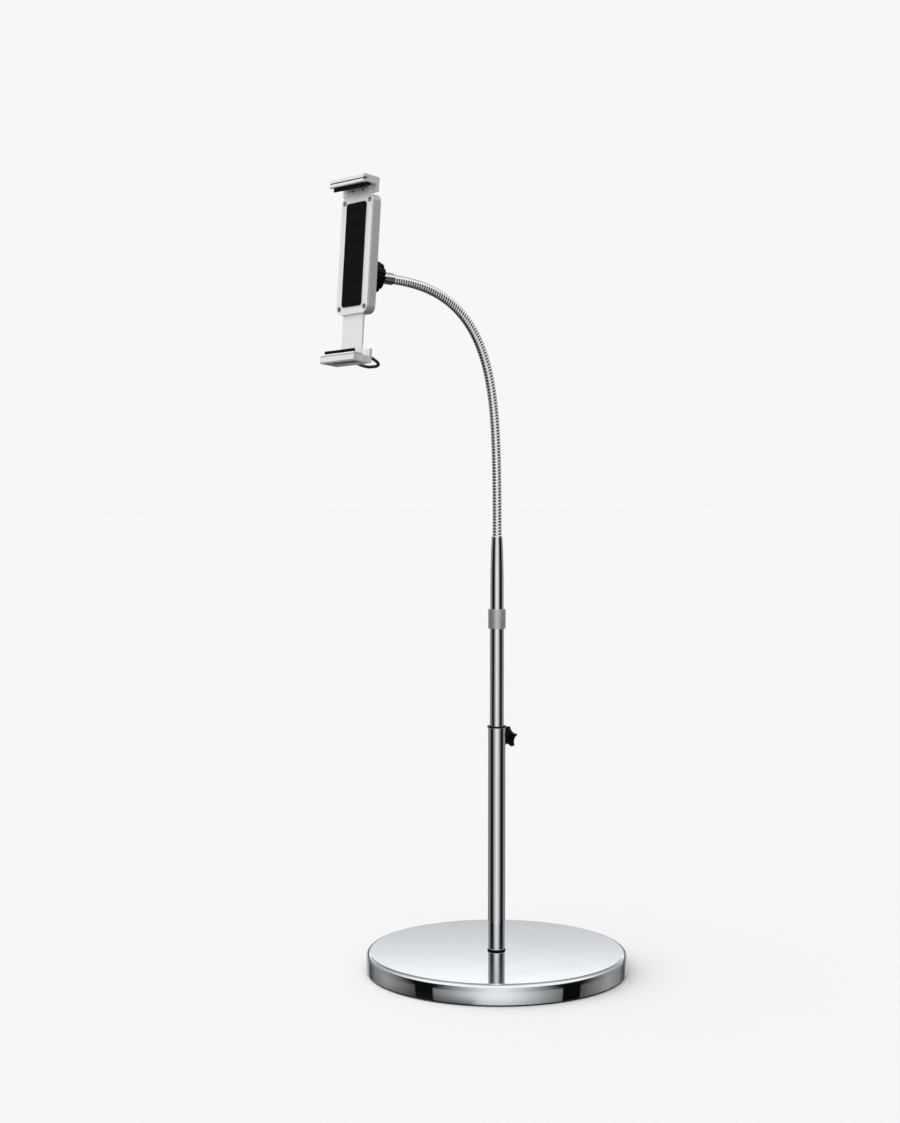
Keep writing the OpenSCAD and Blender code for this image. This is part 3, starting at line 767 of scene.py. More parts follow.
@dataclass
class Base:
    """Weighted round base with its chrome cover."""

    radius: float = 150.0
    height: float = 24.0
    rim: float = 5.0
    wall: float = 1.2
    skirt: float = 1.5
    hole: float = 6.3
    lean: float = 0.2
    edge: float = 0.4
    inner_edge: float = 0.1
    skirt_steps: int = 8
    cover_steps: int = 256
    gasket_r: float = 10.4
    gasket_h: float = 1.5

    def cover(self) -> Shape:
        """Spun cover with a rounded rim, whose skirt leans in a little towards its foot.

        Returns:
            The cover.
        """
        under = self.height - self.wall
        inside = self.radius - self.wall
        rise = self.height / 2 - self.skirt
        shares = [step / self.skirt_steps for step in range(1, self.skirt_steps + 1)]
        return Shape.turned(
            [
                (self.hole, under, 0.0),
                (inside, under, self.rim - self.wall),
                (inside, self.skirt, self.inner_edge),
                (self.radius - self.lean, self.skirt, self.edge),
                *[(self.radius - self.lean * (1 - share) ** 2, self.skirt + rise * share, 0.0) for share in shares],
                (self.radius, self.height, self.rim),
                (self.hole, self.height, 0.0),
            ],
            self.cover_steps,
        )

    def gasket(self) -> Shape:
        """Ring between the cover and the pole.

        Returns:
            The gasket.
        """
        top = self.height + self.gasket_h
        return Shape.turned(
            [
                (self.hole, self.height, 0.0),
                (self.gasket_r, self.height, self.edge),
                (self.gasket_r, top, self.edge),
                (self.hole, top, 0.0),
            ]
        )

    def build(self) -> None:
        """Make the cover and the gasket, and dress what lies under them."""
        self.cover().piece("cover", Finishes.CHROME, "base", ["base_cover"])
        self.gasket().piece("gasket", Finishes.RUBBER, "base", ["pole_gasket"])
        dress(Finishes.CEMENT, "base_weight")
        dress(Finishes.FOAM, "base_pad")
        dress(Finishes.STEEL, "base_stud", "stud_washer", "tube_insert")


@dataclass
class Pole:
    """Telescopic pole with its bush, its clamp and its star knob."""

    foot: float = 25.5
    top: float = 282.5
    outer_r: float = 10.0
    wall: float = 1.0
    end_edge: float = 0.85
    lip_r: float = 11.0
    lip_h: float = 1.5
    bush_len: float = 36.0
    inner_r: float = 8.0
    inner_foot: float = 156.0
    inner_top: float = 400.0
    drill_r: float = 3.3
    drill_band: float = 5.0
    boss_edge: float = 0.4
    fit: float = 0.05
    knob_z: float = 269.0
    knob_angle: float = 93.0
    knob_r: float = 12.25
    knob_from: float = 17.0
    knob_t: float = 5.5
    knob_edge: float = 0.6
    knob_steps: int = 64
    arms: int = 5
    hollow_r: float = 8.7
    star_steps: int = 240
    star_rounds: int = 4
    hub_r: float = 6.0
    hub_from: float = 13.5
    hub_bore: float = 2.0
    hub_waist: float = 0.7
    flare: float = 1.5
    flare_h: float = 0.4
    flare_lean: float = 0.1
    skirt_r: float = 6.6
    skirt_from: float = 10.9
    skirt_wall: float = 0.8
    overlap: float = 0.2
    cap_r: float = 4.6
    cap_lean: float = 0.2
    cap_h: float = 0.9
    cap_sink: float = 0.5

    def knob_frame(self) -> Matrix:
        """Frame whose Z axis points outwards along the clamp screw."""
        turn = Matrix.Rotation(math.radians(self.knob_angle), 4, "Z")
        return Matrix.Translation((0, 0, self.knob_z)) @ turn @ Matrix.Rotation(QUARTER, 4, "Y")

    def drill(self) -> Shape:
        """Drill for the clamp screw.

        Returns:
            The drill, placed.
        """
        shape = Shape()
        length = 2.0 * self.outer_r
        bmesh.ops.create_cone(
            shape.bm,
            cap_ends=True,
            segments=32,
            radius1=self.drill_r,
            radius2=self.drill_r,
            depth=length,
            matrix=self.knob_frame() @ Matrix.Translation((0, 0, length / 2)),
        )
        return shape

    def tube(self, radius: float, low: float, high: float, marks: Sequence[float] = ()) -> Shape:
        """Chromed tube with softened ends.

        Args:
            radius: outer radius.
            low: height of the foot.
            high: height of the top.
            marks: heights at which the wall gets an extra ring.

        Returns:
            The tube.
        """
        bore = radius - self.wall
        return Shape.turned(
            [
                (bore, low, 0.0),
                (radius, low, self.end_edge),
                *[(radius, height, 0.0) for height in marks],
                (radius, high, self.end_edge),
                (bore, high, 0.0),
                *[(bore, height, 0.0) for height in reversed(marks)],
            ]
        )

    def bush(self) -> Shape:
        """Guide bush: a lip on the tube and a sleeve inside it.

        Returns:
            The bush.
        """
        sleeve = self.outer_r - self.wall - self.fit
        bore = self.inner_r + self.fit
        low = self.top - self.bush_len
        crown = self.top + self.lip_h
        return Shape.turned(
            [
                (bore, low, 0.2),
                (sleeve, low, 0.3),
                (sleeve, self.top, 0.0),
                (self.lip_r, self.top, 0.3),
                (self.lip_r, crown, 0.6),
                (bore, crown, 0.2),
            ]
        )

    def star(self) -> Shape:
        """Star head of the knob with hollows between its arms.

        Returns:
            The head.
        """
        shape = Shape()
        bmesh.ops.create_circle(shape.bm, cap_ends=True, segments=self.star_steps, radius=self.knob_r)
        centre = self.knob_r + self.hollow_r / 2
        step = math.tau / self.arms
        for vert in shape.bm.verts:
            around = math.atan2(vert.co.y, vert.co.x)
            off = (around + step / 2) % step - step / 2
            reach = self.hollow_r**2 - (centre * math.sin(off)) ** 2
            if reach > 0.0:
                vert.co *= min(1.0, (centre * math.cos(off) - math.sqrt(reach)) / self.knob_r)
        for _ in range(self.star_rounds):
            bmesh.ops.smooth_vert(
                shape.bm, verts=shape.bm.verts[:], factor=0.5, use_axis_x=True, use_axis_y=True
            )
        grown = bmesh.ops.extrude_face_region(shape.bm, geom=shape.bm.faces[:])["geom"]
        bmesh.ops.translate(shape.bm, vec=(0, 0, self.knob_t), verts=verts_of(grown))
        shape.outward()
        shape.bevel(self.knob_edge, angle=60.0)
        shape.move(Matrix.Translation((0, 0, self.knob_from)))
        return shape

    def hub(self) -> Shape:
        """Hub that flares into the star, with a skirt over the boss.

        Returns:
            The hub.
        """
        inside = self.skirt_r - self.skirt_wall
        wide = self.hub_r + self.flare
        return Shape.turned(
            [
                (self.hub_bore, self.hub_from, 0.0),
                (inside, self.hub_from, 0.0),
                (inside, self.skirt_from, 0.2),
                (self.skirt_r, self.skirt_from, 0.3),
                (self.hub_r, self.knob_from - self.hub_waist, 0.5),
                (wide - self.flare_lean, self.knob_from - self.flare_h, 0.3),
                (wide, self.knob_from + self.overlap, 0.0),
                (self.hub_bore, self.knob_from + self.overlap, 0.0),
            ],
            self.knob_steps,
        )

    def cap(self) -> Shape:
        """Low cap on the star.

        Returns:
            The cap.
        """
        low = self.knob_from + self.knob_t - self.cap_sink
        high = low + self.cap_h
        return Shape.turned(
            [(0.0, low, 0.0), (self.cap_r, low, 0.0), (self.cap_r - self.cap_lean, high, 0.4), (0.0, high, 0.0)],
            self.knob_steps,
        )

    def build(self) -> None:
        """Make the tubes, the bush, the boss and the knob."""
        band = (self.knob_z - self.drill_band, self.knob_z + self.drill_band)
        lower = self.tube(self.outer_r, self.foot, self.top, band)
        cut(lower.piece("outer_tube", Finishes.CHROME, "base", ["lower_tube"]), self.drill())
        cut(self.bush().piece("bush", Finishes.BLACK, "base", ["guide_bush"]), self.drill())
        Shape.softened("clamp_boss", self.boss_edge).piece("boss", Finishes.CHROME, "base", ["clamp_boss"])
        place = self.knob_frame()
        self.star().piece("knob_star", Finishes.BLACK, "knob", ["star_knob"], place)
        self.hub().piece("knob_hub", Finishes.BLACK, "knob", [], place)
        self.cap().piece("knob_cap", Finishes.BLACK, "knob", [], place)
        dress(Finishes.STEEL, "knob_screw")
        dress(Finishes.NYLON, "clamp_shoe")
        inner = self.tube(self.inner_r, self.inner_foot, self.inner_top)
        inner.piece("sliding_tube", Finishes.CHROME, "inner", ["inner_tube"])
        dress(Finishes.BLACK, "slider_plug")
        dress(Finishes.STEEL, "top_insert")
        dress(Finishes.NYLON, "friction_ring")


@dataclass
class Coupling:
    """Knurled collar and tapered ferrule at the top of the pole."""

    low: float = 396.0
    high: float = 418.0
    radius: float = 10.0
    knurl: float = 0.07
    columns: int = 64
    rows: int = 20
    band: float = 1.0
    bore: float = 8.05
    edge: float = 0.3
    mouth_edge: float = 0.2
    thread_r: float = 8.55
    shoulder: float = 2.4
    ferrule_foot: float = 404.05
    ferrule_top: float = 501.0
    ferrule_r: float = 7.7
    flange_r: float = 8.5
    flange_sink: float = 0.8
    tip_r: float = 6.2
    taper: float = 58.0
    taper_steps: int = 28
    nose: float = 0.3
    nose_step: int = 10
    ferrule_bore: float = 4.0
    seat_r: float = 5.25
    seat: float = 10.0

    def collar(self) -> Shape:
        """Collar with diamond knurling between two plain bands.

        Returns:
            The collar.
        """
        root = self.radius - self.knurl
        first, last = self.low + self.band, self.high - self.band
        heights = [first + (last - first) * row / self.rows for row in range(self.rows + 1)]
        shape = Shape.turned(
            [
                (self.bore, self.low, 0.0),
                (root, self.low, self.edge),
                *[(root, height, 0.0) for height in heights],
                (root, self.high, self.edge),
                (self.thread_r, self.high, self.mouth_edge),
                (self.thread_r, self.low + self.shoulder, 0.0),
                (self.bore, self.low + self.shoulder, 0.0),
            ],
            self.columns,
        )
        wall = [face for face in shape.bm.faces if self._on_wall(face, NEAR)]
        within = set(wall)
        grid = [edge for edge in shape.bm.edges if within.issuperset(edge.link_faces)]
        bmesh.ops.poke(shape.bm, faces=wall, offset=0.0)
        bmesh.ops.dissolve_edges(shape.bm, edges=grid)
        diamonds = [face for face in shape.bm.faces if self._is_diamond(face)]
        poked = bmesh.ops.poke(shape.bm, faces=diamonds, offset=self.knurl)
        for vert in poked["verts"]:
            vert[shape.wear] = 1.0
        return shape

    def _on_wall(self, face: bmesh.types.BMFace, slack: float) -> bool:
        """Whether a face belongs to the knurled wall.

        Args:
            face: the face.
            slack: how far inside the wall its corners may lie.

        Returns:
            True for a face of the wall.
        """
        inner = self.radius - self.knurl - slack
        low, high = self.low + self.band - NEAR, self.high - self.band + NEAR
        return all(vert.co.xy.length > inner and low < vert.co.z < high for vert in face.verts)

    def _is_diamond(self, face: bmesh.types.BMFace) -> bool:
        """Whether a face is one of the diamonds on the wall."""
        levels = {round(vert.co.z, 2) for vert in face.verts}
        return len(face.verts) == 4 and len(levels) == 3 and self._on_wall(face, 10 * NEAR)

    def ferrule(self) -> Shape:
        """Ferrule with a long ogive and a socket for the neck.

        Returns:
            The ferrule.
        """
        swell = self.ferrule_r - self.tip_r
        shares = [step / self.taper_steps for step in range(self.taper_steps, 1, -1)]
        lip = self.tip_r - self.seat_r
        turns = [math.radians(angle) for angle in range(0, 90, self.nose_step)]
        thread_top = self.high - self.flange_sink
        socket = self.ferrule_top - self.seat
        return Shape.turned(
            [
                (self.ferrule_bore, self.ferrule_foot, 0.0),
                (self.flange_r, self.ferrule_foot, self.edge),
                (self.flange_r, thread_top, self.edge),
                (self.ferrule_r, thread_top, 0.0),
                *[
                    (self.tip_r + swell * (1.0 - (1.0 - share) ** 2), self.ferrule_top - self.taper * share, 0.0)
                    for share in shares
                ],
                *[
                    (self.seat_r + lip * math.cos(turn), self.ferrule_top - self.nose * (1.0 - math.sin(turn)), 0.0)
                    for turn in turns
                ],
                (self.seat_r, self.ferrule_top, 0.0),
                (self.seat_r, socket, 0.0),
                (self.ferrule_bore, socket, 0.0),
            ]
        )

    def build(self) -> None:
        """Make the collar and the ferrule."""
        self.collar().piece("collar", Finishes.KNURL, "collar", ["collar_nut"], smooth=20.0)
        self.ferrule().piece("ferrule", Finishes.CHROME, "neck_1", ["neck_ferrule"])


@dataclass
class Neck:
    """Ribbed flexible neck, wound from one profiled wire and split at the middle of each length."""

    foot: float = 501.0
    length: float = 387.0
    turn: float = 94.5
    middle: float = 255.0
    spread: float = 48.0
    straight: float = 12.0
    sections: int = 7
    turns_per_half: int = 8
    crest_r: float = 5.2
    wall: float = 1.6
    depth: float = 0.55
    roundness: int = 4
    # Share of painted shade in the grooves between the ribs.
    painted_shade: float = 0.2
    gap: float = 0.04
    grip: float = 10.0
    bend_share: float = 0.9
    steps: int = 36
    line: list[Vector] = field(default_factory=list)
    line_steps: int = 400

    def __post_init__(self) -> None:
        """Integrate the centreline."""
        step = self.length / self.line_steps
        spot = Vector((0.0, 0.0, self.foot))
        for index in range(self.line_steps + 1):
            self.line.append(spot.copy())
            spot += step * self.tangent((index + 0.5) * step)

    def _share(self, along: float) -> float:
        """Share of the whole bend that lies before a distance along the neck."""
        return 1.0 / (1.0 + math.exp((self.middle - along) / self.spread))

    def angle(self, along: float) -> float:
        """Angle of the neck from upright, in radians, at a distance along it."""
        held = max(0.0, min(along, self.length - self.straight))
        return math.radians(self.turn) * (self._share(held) - self._share(0.0))

    def tangent(self, along: float) -> Vector:
        """Direction of the neck at a distance along it."""
        tilt = self.angle(along)
        return Vector((0.0, -math.sin(tilt), math.cos(tilt)))

    def frame_at(self, along: float) -> Matrix:
        """Frame on the centreline whose Z axis follows the neck.

        Args:
            along: distance along the neck, which may lie past either end.

        Returns:
            The frame.
        """
        if along <= 0.0:
            spot = Vector((0.0, 0.0, self.foot + along))
        elif along >= self.length:
            spot = self.line[-1] + (along - self.length) * self.tangent(along)
        else:
            place = along / self.length * self.line_steps
            index = int(place)
            spot = self.line[index].lerp(self.line[min(index + 1, self.line_steps)], place - index)
        return Matrix.Translation(spot) @ Matrix.Rotation(self.angle(along), 4, "X")

    def winding(self, start: float, turns: int) -> Shape:
        """Some turns of the profiled wire along the neck.

        Args:
            start: distance along the neck at which the first turn starts.
            turns: number of turns.

        Returns:
            The winding, bent along the neck.
        """
        shape = Shape()
        pitch = self.length / (2 * self.sections * self.turns_per_half)
        half = (pitch - self.gap) / 2
        shares = (-1.0, -0.92, -0.8, -0.6, -0.35, 0.0, 0.35, 0.6, 0.8, 0.92, 1.0)
        crown = [(self.crest_r - self.depth * share**self.roundness, half * share) for share in shares]
        bore = self.crest_r - self.wall
        outline = [*crown, (bore, half), (bore, -half)]
        face = shape.bm.faces.new([shape.bm.verts.new((radius, 0.0, start + rise)) for radius, rise in outline])
        bmesh.ops.spin(
            shape.bm,
            geom=[face],
            cent=ORIGIN,
            axis=UP,
            dvec=(0.0, 0.0, pitch / self.steps),
            angle=math.tau * turns,
            steps=turns * self.steps,
        )
        shape.outward()
        for vert in shape.bm.verts:
            # Painted shade: vertices in the grooves between the ribs get a negative value that darkens the colour.
            if vert.co.xy.length < self.crest_r - self.depth / 2:
                vert[shape.wear] = -self.painted_shade
            vert.co = self.frame_at(vert.co.z) @ Vector((vert.co.x, vert.co.y, 0.0))
        return shape

    def build(self) -> None:
        """Make the end windings and those that span the joints."""
        half = self.length / (2 * self.sections)
        pitch = half / self.turns_per_half
        held = int(self.grip / pitch)
        first = self.winding(-held * pitch, self.turns_per_half + held)
        first.piece("neck_root", Finishes.HOSE, "neck_1", ["neck_section_1"])
        for joint in range(1, self.sections):
            middle = 2 * half * joint
            reach = self.bend_share * half
            seams = (
                f"neck_{joint + 1}",
                self.frame_at(middle - reach).translation,
                self.frame_at(middle + reach).translation,
            )
            self.winding(middle - half, 2 * self.turns_per_half).piece(
                f"neck_winding_{joint}",
                Finishes.HOSE,
                f"neck_{joint}",
                [f"neck_section_{joint + 1}"],
                seams=seams,
            )
        last = self.winding(self.length - half, self.turns_per_half)
        last.piece("neck_end", Finishes.HOSE, f"neck_{self.sections}", [f"neck_section_{self.sections}"])


@dataclass
class BallJoint:
    """Sleeve and ball at the neck's end, with the socket and its lock nut."""

    neck: Neck
    sleeve_r: float = 6.5
    web: float = 6.0
    shoulder: float = 1.5
    grip: float = 10.0
    socket_r: float = 5.25
    ball_r: float = 8.5
    stem_r: float = 3.5
    stem: float = 14.0
    thread_r: float = 3.0
    thread_sink: float = 0.5
    fit: float = 0.05
    steps: int = 96
    ball_steps: int = 40
    edge: float = 0.5

    def sleeve(self) -> Shape:
        """Sleeve over the neck's end.

        Returns:
            The sleeve, in the frame of the neck's end.
        """
        bore = self.thread_r + self.fit
        return Shape.turned(
            [
                (self.socket_r, -self.grip, 0.2),
                (self.sleeve_r, -self.grip, 0.5),
                (self.sleeve_r, self.web - self.shoulder, 0.8),
                (self.sleeve_r - self.shoulder, self.web, 0.4),
                (bore, self.web, 0.0),
                (bore, 0.0, 0.0),
                (self.socket_r, 0.0, 0.0),
            ],
            self.steps,
        )

    def ball(self) -> Shape:
        """Ball on its threaded stem.

        Returns:
            The ball, in the frame of the neck's end.
        """
        centre = self.web + self.stem
        start = math.asin(self.stem_r / self.ball_r)
        turns = [start + (math.pi - start) * step / self.ball_steps for step in range(self.ball_steps)]
        return Shape.turned(
            [
                (0.0, self.thread_sink, 0.0),
                (self.thread_r, self.thread_sink, 0.3),
                (self.thread_r, self.web, 0.0),
                (self.stem_r, self.web, 0.3),
                *[(self.ball_r * math.sin(turn), centre - self.ball_r * math.cos(turn), 0.0) for turn in turns],
                (0.0, centre + self.ball_r, 0.0),
            ],
            self.steps,
        )

    def build(self) -> None:
        """Make the sleeve and the ball, and soften the socket and the nut."""
        place = self.neck.frame_at(self.neck.length)
        self.sleeve().piece("sleeve", Finishes.CHROME, "neck_7", ["tip_sleeve"], place)
        self.ball().piece("ball", Finishes.CHROME, "neck_7", ["ball_stud"], place)
        Shape.softened("socket", self.edge).piece("ball_socket", Finishes.BLACK, "socket", ["socket"])
        Shape.softened("lock_nut", self.edge).piece("ball_nut", Finishes.BLACK, "lock_nut", ["lock_nut"])
        dress(Finishes.NYLON, "ball_seat")
        dress(Finishes.STEEL, "pivot_screw", "pivot_washer")


@dataclass
class Screw:
    """Small screw with a cross recess; its head ends at height 0 and points along +Z.

    Attributes:
        radius: radius of the head.
        height: height of the head.
        shank: length of the shank under the head.
        shank_r: radius of the shank.
        sunk: whether the head is a countersunk cone.
        fit: share of its radius that the shank keeps.
        edge: rounding of the head.
        arm: half the width of the cross, as a share of the head's radius.
        reach: length of the cross's arms, as a share of the head's radius.
        deep: depth of the cross, as a share of the head's height.
        flat: upward share of a normal above which a face counts as the head's top.
        skin: how far below 0 the head's top is looked for.
    """

    radius: float
    height: float
    shank: float
    shank_r: float
    sunk: bool = False
    fit: float = 0.97
    edge: float = 0.25
    arm: float = 0.16
    reach: float = 0.62
    deep: float = 0.55
    flat: float = 0.9
    skin: float = 0.05

    def shape(self) -> Shape:
        """Make the screw.

        Returns:
            The screw in its own frame.
        """
        shape = Shape()
        under = self.shank_r if self.sunk else self.radius
        thin = self.fit * self.shank_r
        for segments, low_r, high_r, depth, middle in (
            (40, under, self.radius, self.height, -self.height / 2),
            (24, thin, thin, self.shank, -self.height - self.shank / 2),
        ):
            bmesh.ops.create_cone(
                shape.bm,
                cap_ends=True,
                segments=segments,
                radius1=low_r,
                radius2=high_r,
                depth=depth,
                matrix=Matrix.Translation((0, 0, middle)),
            )
        shape.bevel(self.edge, 2, 40.0, lambda edge: all(vert.co.z > -NEAR for vert in edge.verts))
        arm, reach = self.arm * self.radius, self.reach * self.radius
        for axis in ((1, 0, 0), (0, 1, 0)):
            for offset in (-reach, -arm, arm, reach):
                crown = [
                    item
                    for face in shape.bm.faces
                    if self._on_top(face)
                    for item in (face, *face.edges, *face.verts)
                ]
                bmesh.ops.bisect_plane(
                    shape.bm,
                    geom=list(dict.fromkeys(crown)),
                    plane_co=Vector(axis) * offset,
                    plane_no=axis,
                )
        recess = [face for face in shape.bm.faces if self._in_cross(face)]
        grown = bmesh.ops.extrude_face_region(shape.bm, geom=recess)["geom"]
        bmesh.ops.delete(shape.bm, geom=recess, context="FACES_ONLY")
        bmesh.ops.translate(shape.bm, vec=(0, 0, -self.deep * self.height), verts=verts_of(grown))
        return shape

    def _on_top(self, face: bmesh.types.BMFace) -> bool:
        """Whether a face lies on the top of the head."""
        return face.normal.z > self.flat and face.calc_center_median().z > -self.skin

    def _in_cross(self, face: bmesh.types.BMFace) -> bool:
        """Whether a face of the head lies in the cross recess.

        Args:
            face: the face.

        Returns:
            True for a face of the recess.
        """
        centre = face.calc_center_median()
        narrow, wide = sorted((abs(centre.x), abs(centre.y)))
        return self._on_top(face) and narrow < self.arm * self.radius and wide < self.reach * self.radius


@dataclass
class Holder:
    """Sprung claw holder behind the device, with its sliding lower claw."""

    neck: Neck
    tilt: float = 7.2
    roll: float = 3.1
    ball_reach: float = 20.0
    screw_x: float = 19.5
    screw_low: float = -38.4
    screw_high: float = 75.4
    screw_len: float = 6.5
    plate_front: float = 24.95
    arm_front: float = 22.15
    head_r: float = 3.0
    head_h: float = 1.5
    claw_screw_x: float = 8.0
    claw_screw_z: float = 86.9
    claw_screw_gap: float = 0.3
    shell_front: float = 22.45
    leg: float = 3.5
    low_back: float = 16.45
    pan_r: float = 2.7
    pan_h: float = 1.8
    shank_r: float = 1.5
    handle_x: float = 15.0
    handle_z: float = 86.9
    handle_len: float = 30.0
    handle_in: float = 2.7
    handle_drop: float = 18.0
    bend_r: float = 12.0
    wire_r: float = 1.7
    claw_edge: float = 0.25
    lip_out: float = 41.95
    upper_line: float = 93.45
    lower_line: float = 91.45
    line_w: float = 0.8
    line_deep: float = 1.2
    line_slack: float = 1.1
    line_spread: float = 0.6
    # Painted shade on the bottom of the groove lines of the upper and the lower claw.
    upper_line_shade: float = 1.0
    lower_line_shade: float = 0.4
    hollow: float = 3.0
    hollow_wall: float = 1.2
    hollow_slack: float = 0.375
    # Painted shade on the roof of the hollow under the lower claw.
    hollow_shade: float = 0.6
    spring_x: float = 12.0
    spring_r: float = 1.7
    spring_wire: float = 0.4
    spring_low: float = 12.0
    spring_high: float = 69.0
    spring_turns: int = 20
    spring_steps: int = 24
    spring_depth: float = 17.55
    post_low: float = 6.0
    post_high: float = 75.0
    spring_end_x: float = 13.65

    def facing(self) -> Matrix:
        """Frame at the ball whose Y axis points up the holder and whose Z axis faces the user.

        Returns:
            The frame.
        """
        ball = self.neck.frame_at(self.neck.length + self.ball_reach).translation
        tilt = Matrix.Rotation(math.radians(-self.tilt), 4, "X")
        roll = Matrix.Rotation(math.radians(-self.roll), 4, "Y")
        return Matrix.Translation(ball) @ tilt @ roll @ Matrix.Rotation(QUARTER, 4, "X")

    def screws(self, name: str, node: str, body: str, screw: Screw, places: Sequence[Matrix]) -> None:
        """Gather several screws into one piece.

        Args:
            name: name of the piece.
            node: the node that it stands for.
            body: the body that it rides on.
            screw: the screw.
            places: place of each screw in the facing frame.
        """
        group = Shape()
        for place in places:
            single = screw.shape()
            single.move(place)
            mesh = single.mesh("screw")
            group.bm.from_mesh(mesh)
            bpy.data.meshes.remove(mesh)
        group.piece(name, Finishes.STEEL, body, [node], self.facing())

    def fasteners(self) -> None:
        """Make the plate screws and the claw screws."""
        shank_r = self.shank_r
        places = [
            Matrix.Translation((side * self.screw_x, height, self.plate_front))
            for side in (-1, 1)
            for height in (self.screw_low, self.screw_high)
        ]
        plate_screw = Screw(self.head_r, self.head_h, self.screw_len, shank_r, True)
        self.screws("body_screws", "plate_screws", "holder", plate_screw, places)
        about = Matrix.Rotation(math.pi, 4, "X")
        top = (self.claw_screw_z, self.shell_front - self.leg, self.plate_front)
        bottom = (-self.claw_screw_z, self.low_back, self.arm_front)
        for name, node, body, (height, station, end) in (
            ("top_claw_screws", "upper_claw_screws", "holder", top),
            ("bottom_claw_screws", "lower_claw_screws", "clamp", bottom),
        ):
            places = [
                Matrix.Translation((side * self.claw_screw_x, height, station)) @ about for side in (-1, 1)
            ]
            shank = end - self.claw_screw_gap - station - self.pan_h
            self.screws(name, node, body, Screw(self.pan_r, self.pan_h, shank, shank_r), places)

    def claw(self, node: str, line: float, painted_shade: float) -> Shape:
        """Claw with softened edges and painted shade in its groove line, which opens a little where the shade is
        painted.

        Args:
            node: name of the claw's node.
            line: height of the groove line in the facing frame.
            painted_shade: share of painted shade on the bottom of the groove, which also widens the groove.

        Returns:
            The claw.
        """
        shape = Shape.softened(node, self.claw_edge)
        facing = self.facing()
        back = facing.inverted()
        for vert in shape.bm.verts:
            spot = back @ vert.co
            depth = self.lip_out - spot.z
            if abs(spot.y - line) < self.line_w and depth < self.line_slack * self.line_deep:
                spot.y = line + (spot.y - line) * (1.0 + self.line_spread * painted_shade)
                vert.co = facing @ spot
                # Painted shade: the bottom of the groove line gets a negative value that darkens the colour.
                if depth > self.line_deep / 2:
                    vert[shape.wear] = -painted_shade
        return shape

    def lower_claw(self) -> Shape:
        """Lower claw, with painted shade on the roof of the hollow underneath too.

        Returns:
            The claw.
        """
        shape = self.claw("lower_claw", -self.lower_line, self.lower_line_shade)
        back = self.facing().inverted()
        spots = [back @ vert.co for vert in shape.bm.verts]
        roof = min(spot.y for spot in spots) + self.hollow
        side = max(spot.x for spot in spots) - self.hollow_wall
        for vert, spot in zip(shape.bm.verts, spots):
            inside = abs(spot.x) < side and self.lip_out - spot.z > self.hollow_wall
            # Painted shade: the roof of the hollow gets a negative value that darkens the colour towards it.
            if inside and abs(spot.y - roof) < self.hollow_slack:
                vert[shape.wear] = -self.hollow_shade
        return shape

    def handle(self) -> Shape:
        """Wire pull loop behind the lower claw, swept from one leg to the other.

        Returns:
            The loop, placed in the facing frame.
        """
        shape = Shape()
        front = self.handle_in
        centre = self.wire_r - self.handle_len + self.bend_r
        inset = self.handle_x - self.bend_r
        bmesh.ops.create_circle(
            shape.bm,
            cap_ends=False,
            segments=24,
            radius=self.wire_r,
            matrix=Matrix.Translation((-self.handle_x, 0.0, front)),
        )
        start = shape.bm.edges[:]

        def run(edges: list, vector: Point) -> list:
            """Pull a loop of edges straight.

            Args:
                edges: the loop.
                vector: the way that it goes.

            Returns:
                The loop at the far end.
            """
            grown = bmesh.ops.extrude_edge_only(shape.bm, edges=edges)["geom"]
            bmesh.ops.translate(shape.bm, vec=vector, verts=verts_of(grown))
            return rim_of(grown)

        def swing(edges: list, pivot: Point) -> list:
            """Swing a loop of edges a quarter turn round a bend.

            Args:
                edges: the loop.
                pivot: centre of the bend.

            Returns:
                The loop at the far end.
            """
            turned = bmesh.ops.spin(
                shape.bm,
                geom=edges,
                cent=pivot,
                axis=(0.0, 1.0, 0.0),
                dvec=ORIGIN,
                angle=-QUARTER,
                steps=20,
            )
            return edges_of(turned["geom_last"])

        end = run(start, (0.0, 0.0, centre - front))
        end = swing(end, (-inset, 0.0, centre))
        end = run(end, (2 * inset, 0.0, 0.0))
        end = swing(end, (inset, 0.0, centre))
        end = run(end, (0.0, 0.0, front - centre))
        for ring in (start, end):
            bmesh.ops.contextual_create(shape.bm, geom=ring)
        shape.outward()
        droop = Matrix.Rotation(math.radians(-self.handle_drop), 4, "X")
        shape.move(Matrix.Translation((0.0, -self.handle_z, self.low_back)) @ droop)
        return shape

    def spring(self) -> Shape:
        """Close-wound extension spring with straight ends.

        Returns:
            The spring, placed in the facing frame.
        """
        shape = Shape()
        steps = self.spring_steps * self.spring_turns
        bmesh.ops.create_circle(
            shape.bm,
            cap_ends=False,
            segments=10,
            radius=self.spring_wire,
            matrix=Matrix.Translation((self.spring_r, 0, 0)) @ Matrix.Rotation(QUARTER, 4, "X"),
        )
        first = shape.bm.edges[:]
        turned = bmesh.ops.spin(
            shape.bm,
            geom=first,
            cent=ORIGIN,
            axis=UP,
            dvec=(0.0, 0.0, (self.spring_high - self.spring_low) / steps),
            angle=math.tau * self.spring_turns,
            steps=steps,
        )
        last = edges_of(turned["geom_last"])
        upright = Matrix.Rotation(-QUARTER, 3, "X")
        for ring, rise in (
            (first, self.post_low - self.spring_low),
            (last, self.post_high - self.spring_high),
        ):
            grown = bmesh.ops.extrude_edge_only(shape.bm, edges=ring)["geom"]
            verts = verts_of(grown)
            centre = sum((vert.co for vert in verts), Vector()) / len(verts)
            bmesh.ops.rotate(shape.bm, cent=centre, matrix=upright, verts=verts)
            target = Vector((self.spring_end_x - self.spring_x, 0.0, centre.z + rise))
            bmesh.ops.translate(shape.bm, vec=target - centre, verts=verts)
            bmesh.ops.contextual_create(shape.bm, geom=rim_of(grown))
        shape.outward()
        place = Matrix.Translation((self.spring_x, self.spring_low, self.spring_depth))
        shape.move(place @ Matrix.Rotation(-QUARTER, 4, "X"))
        return shape

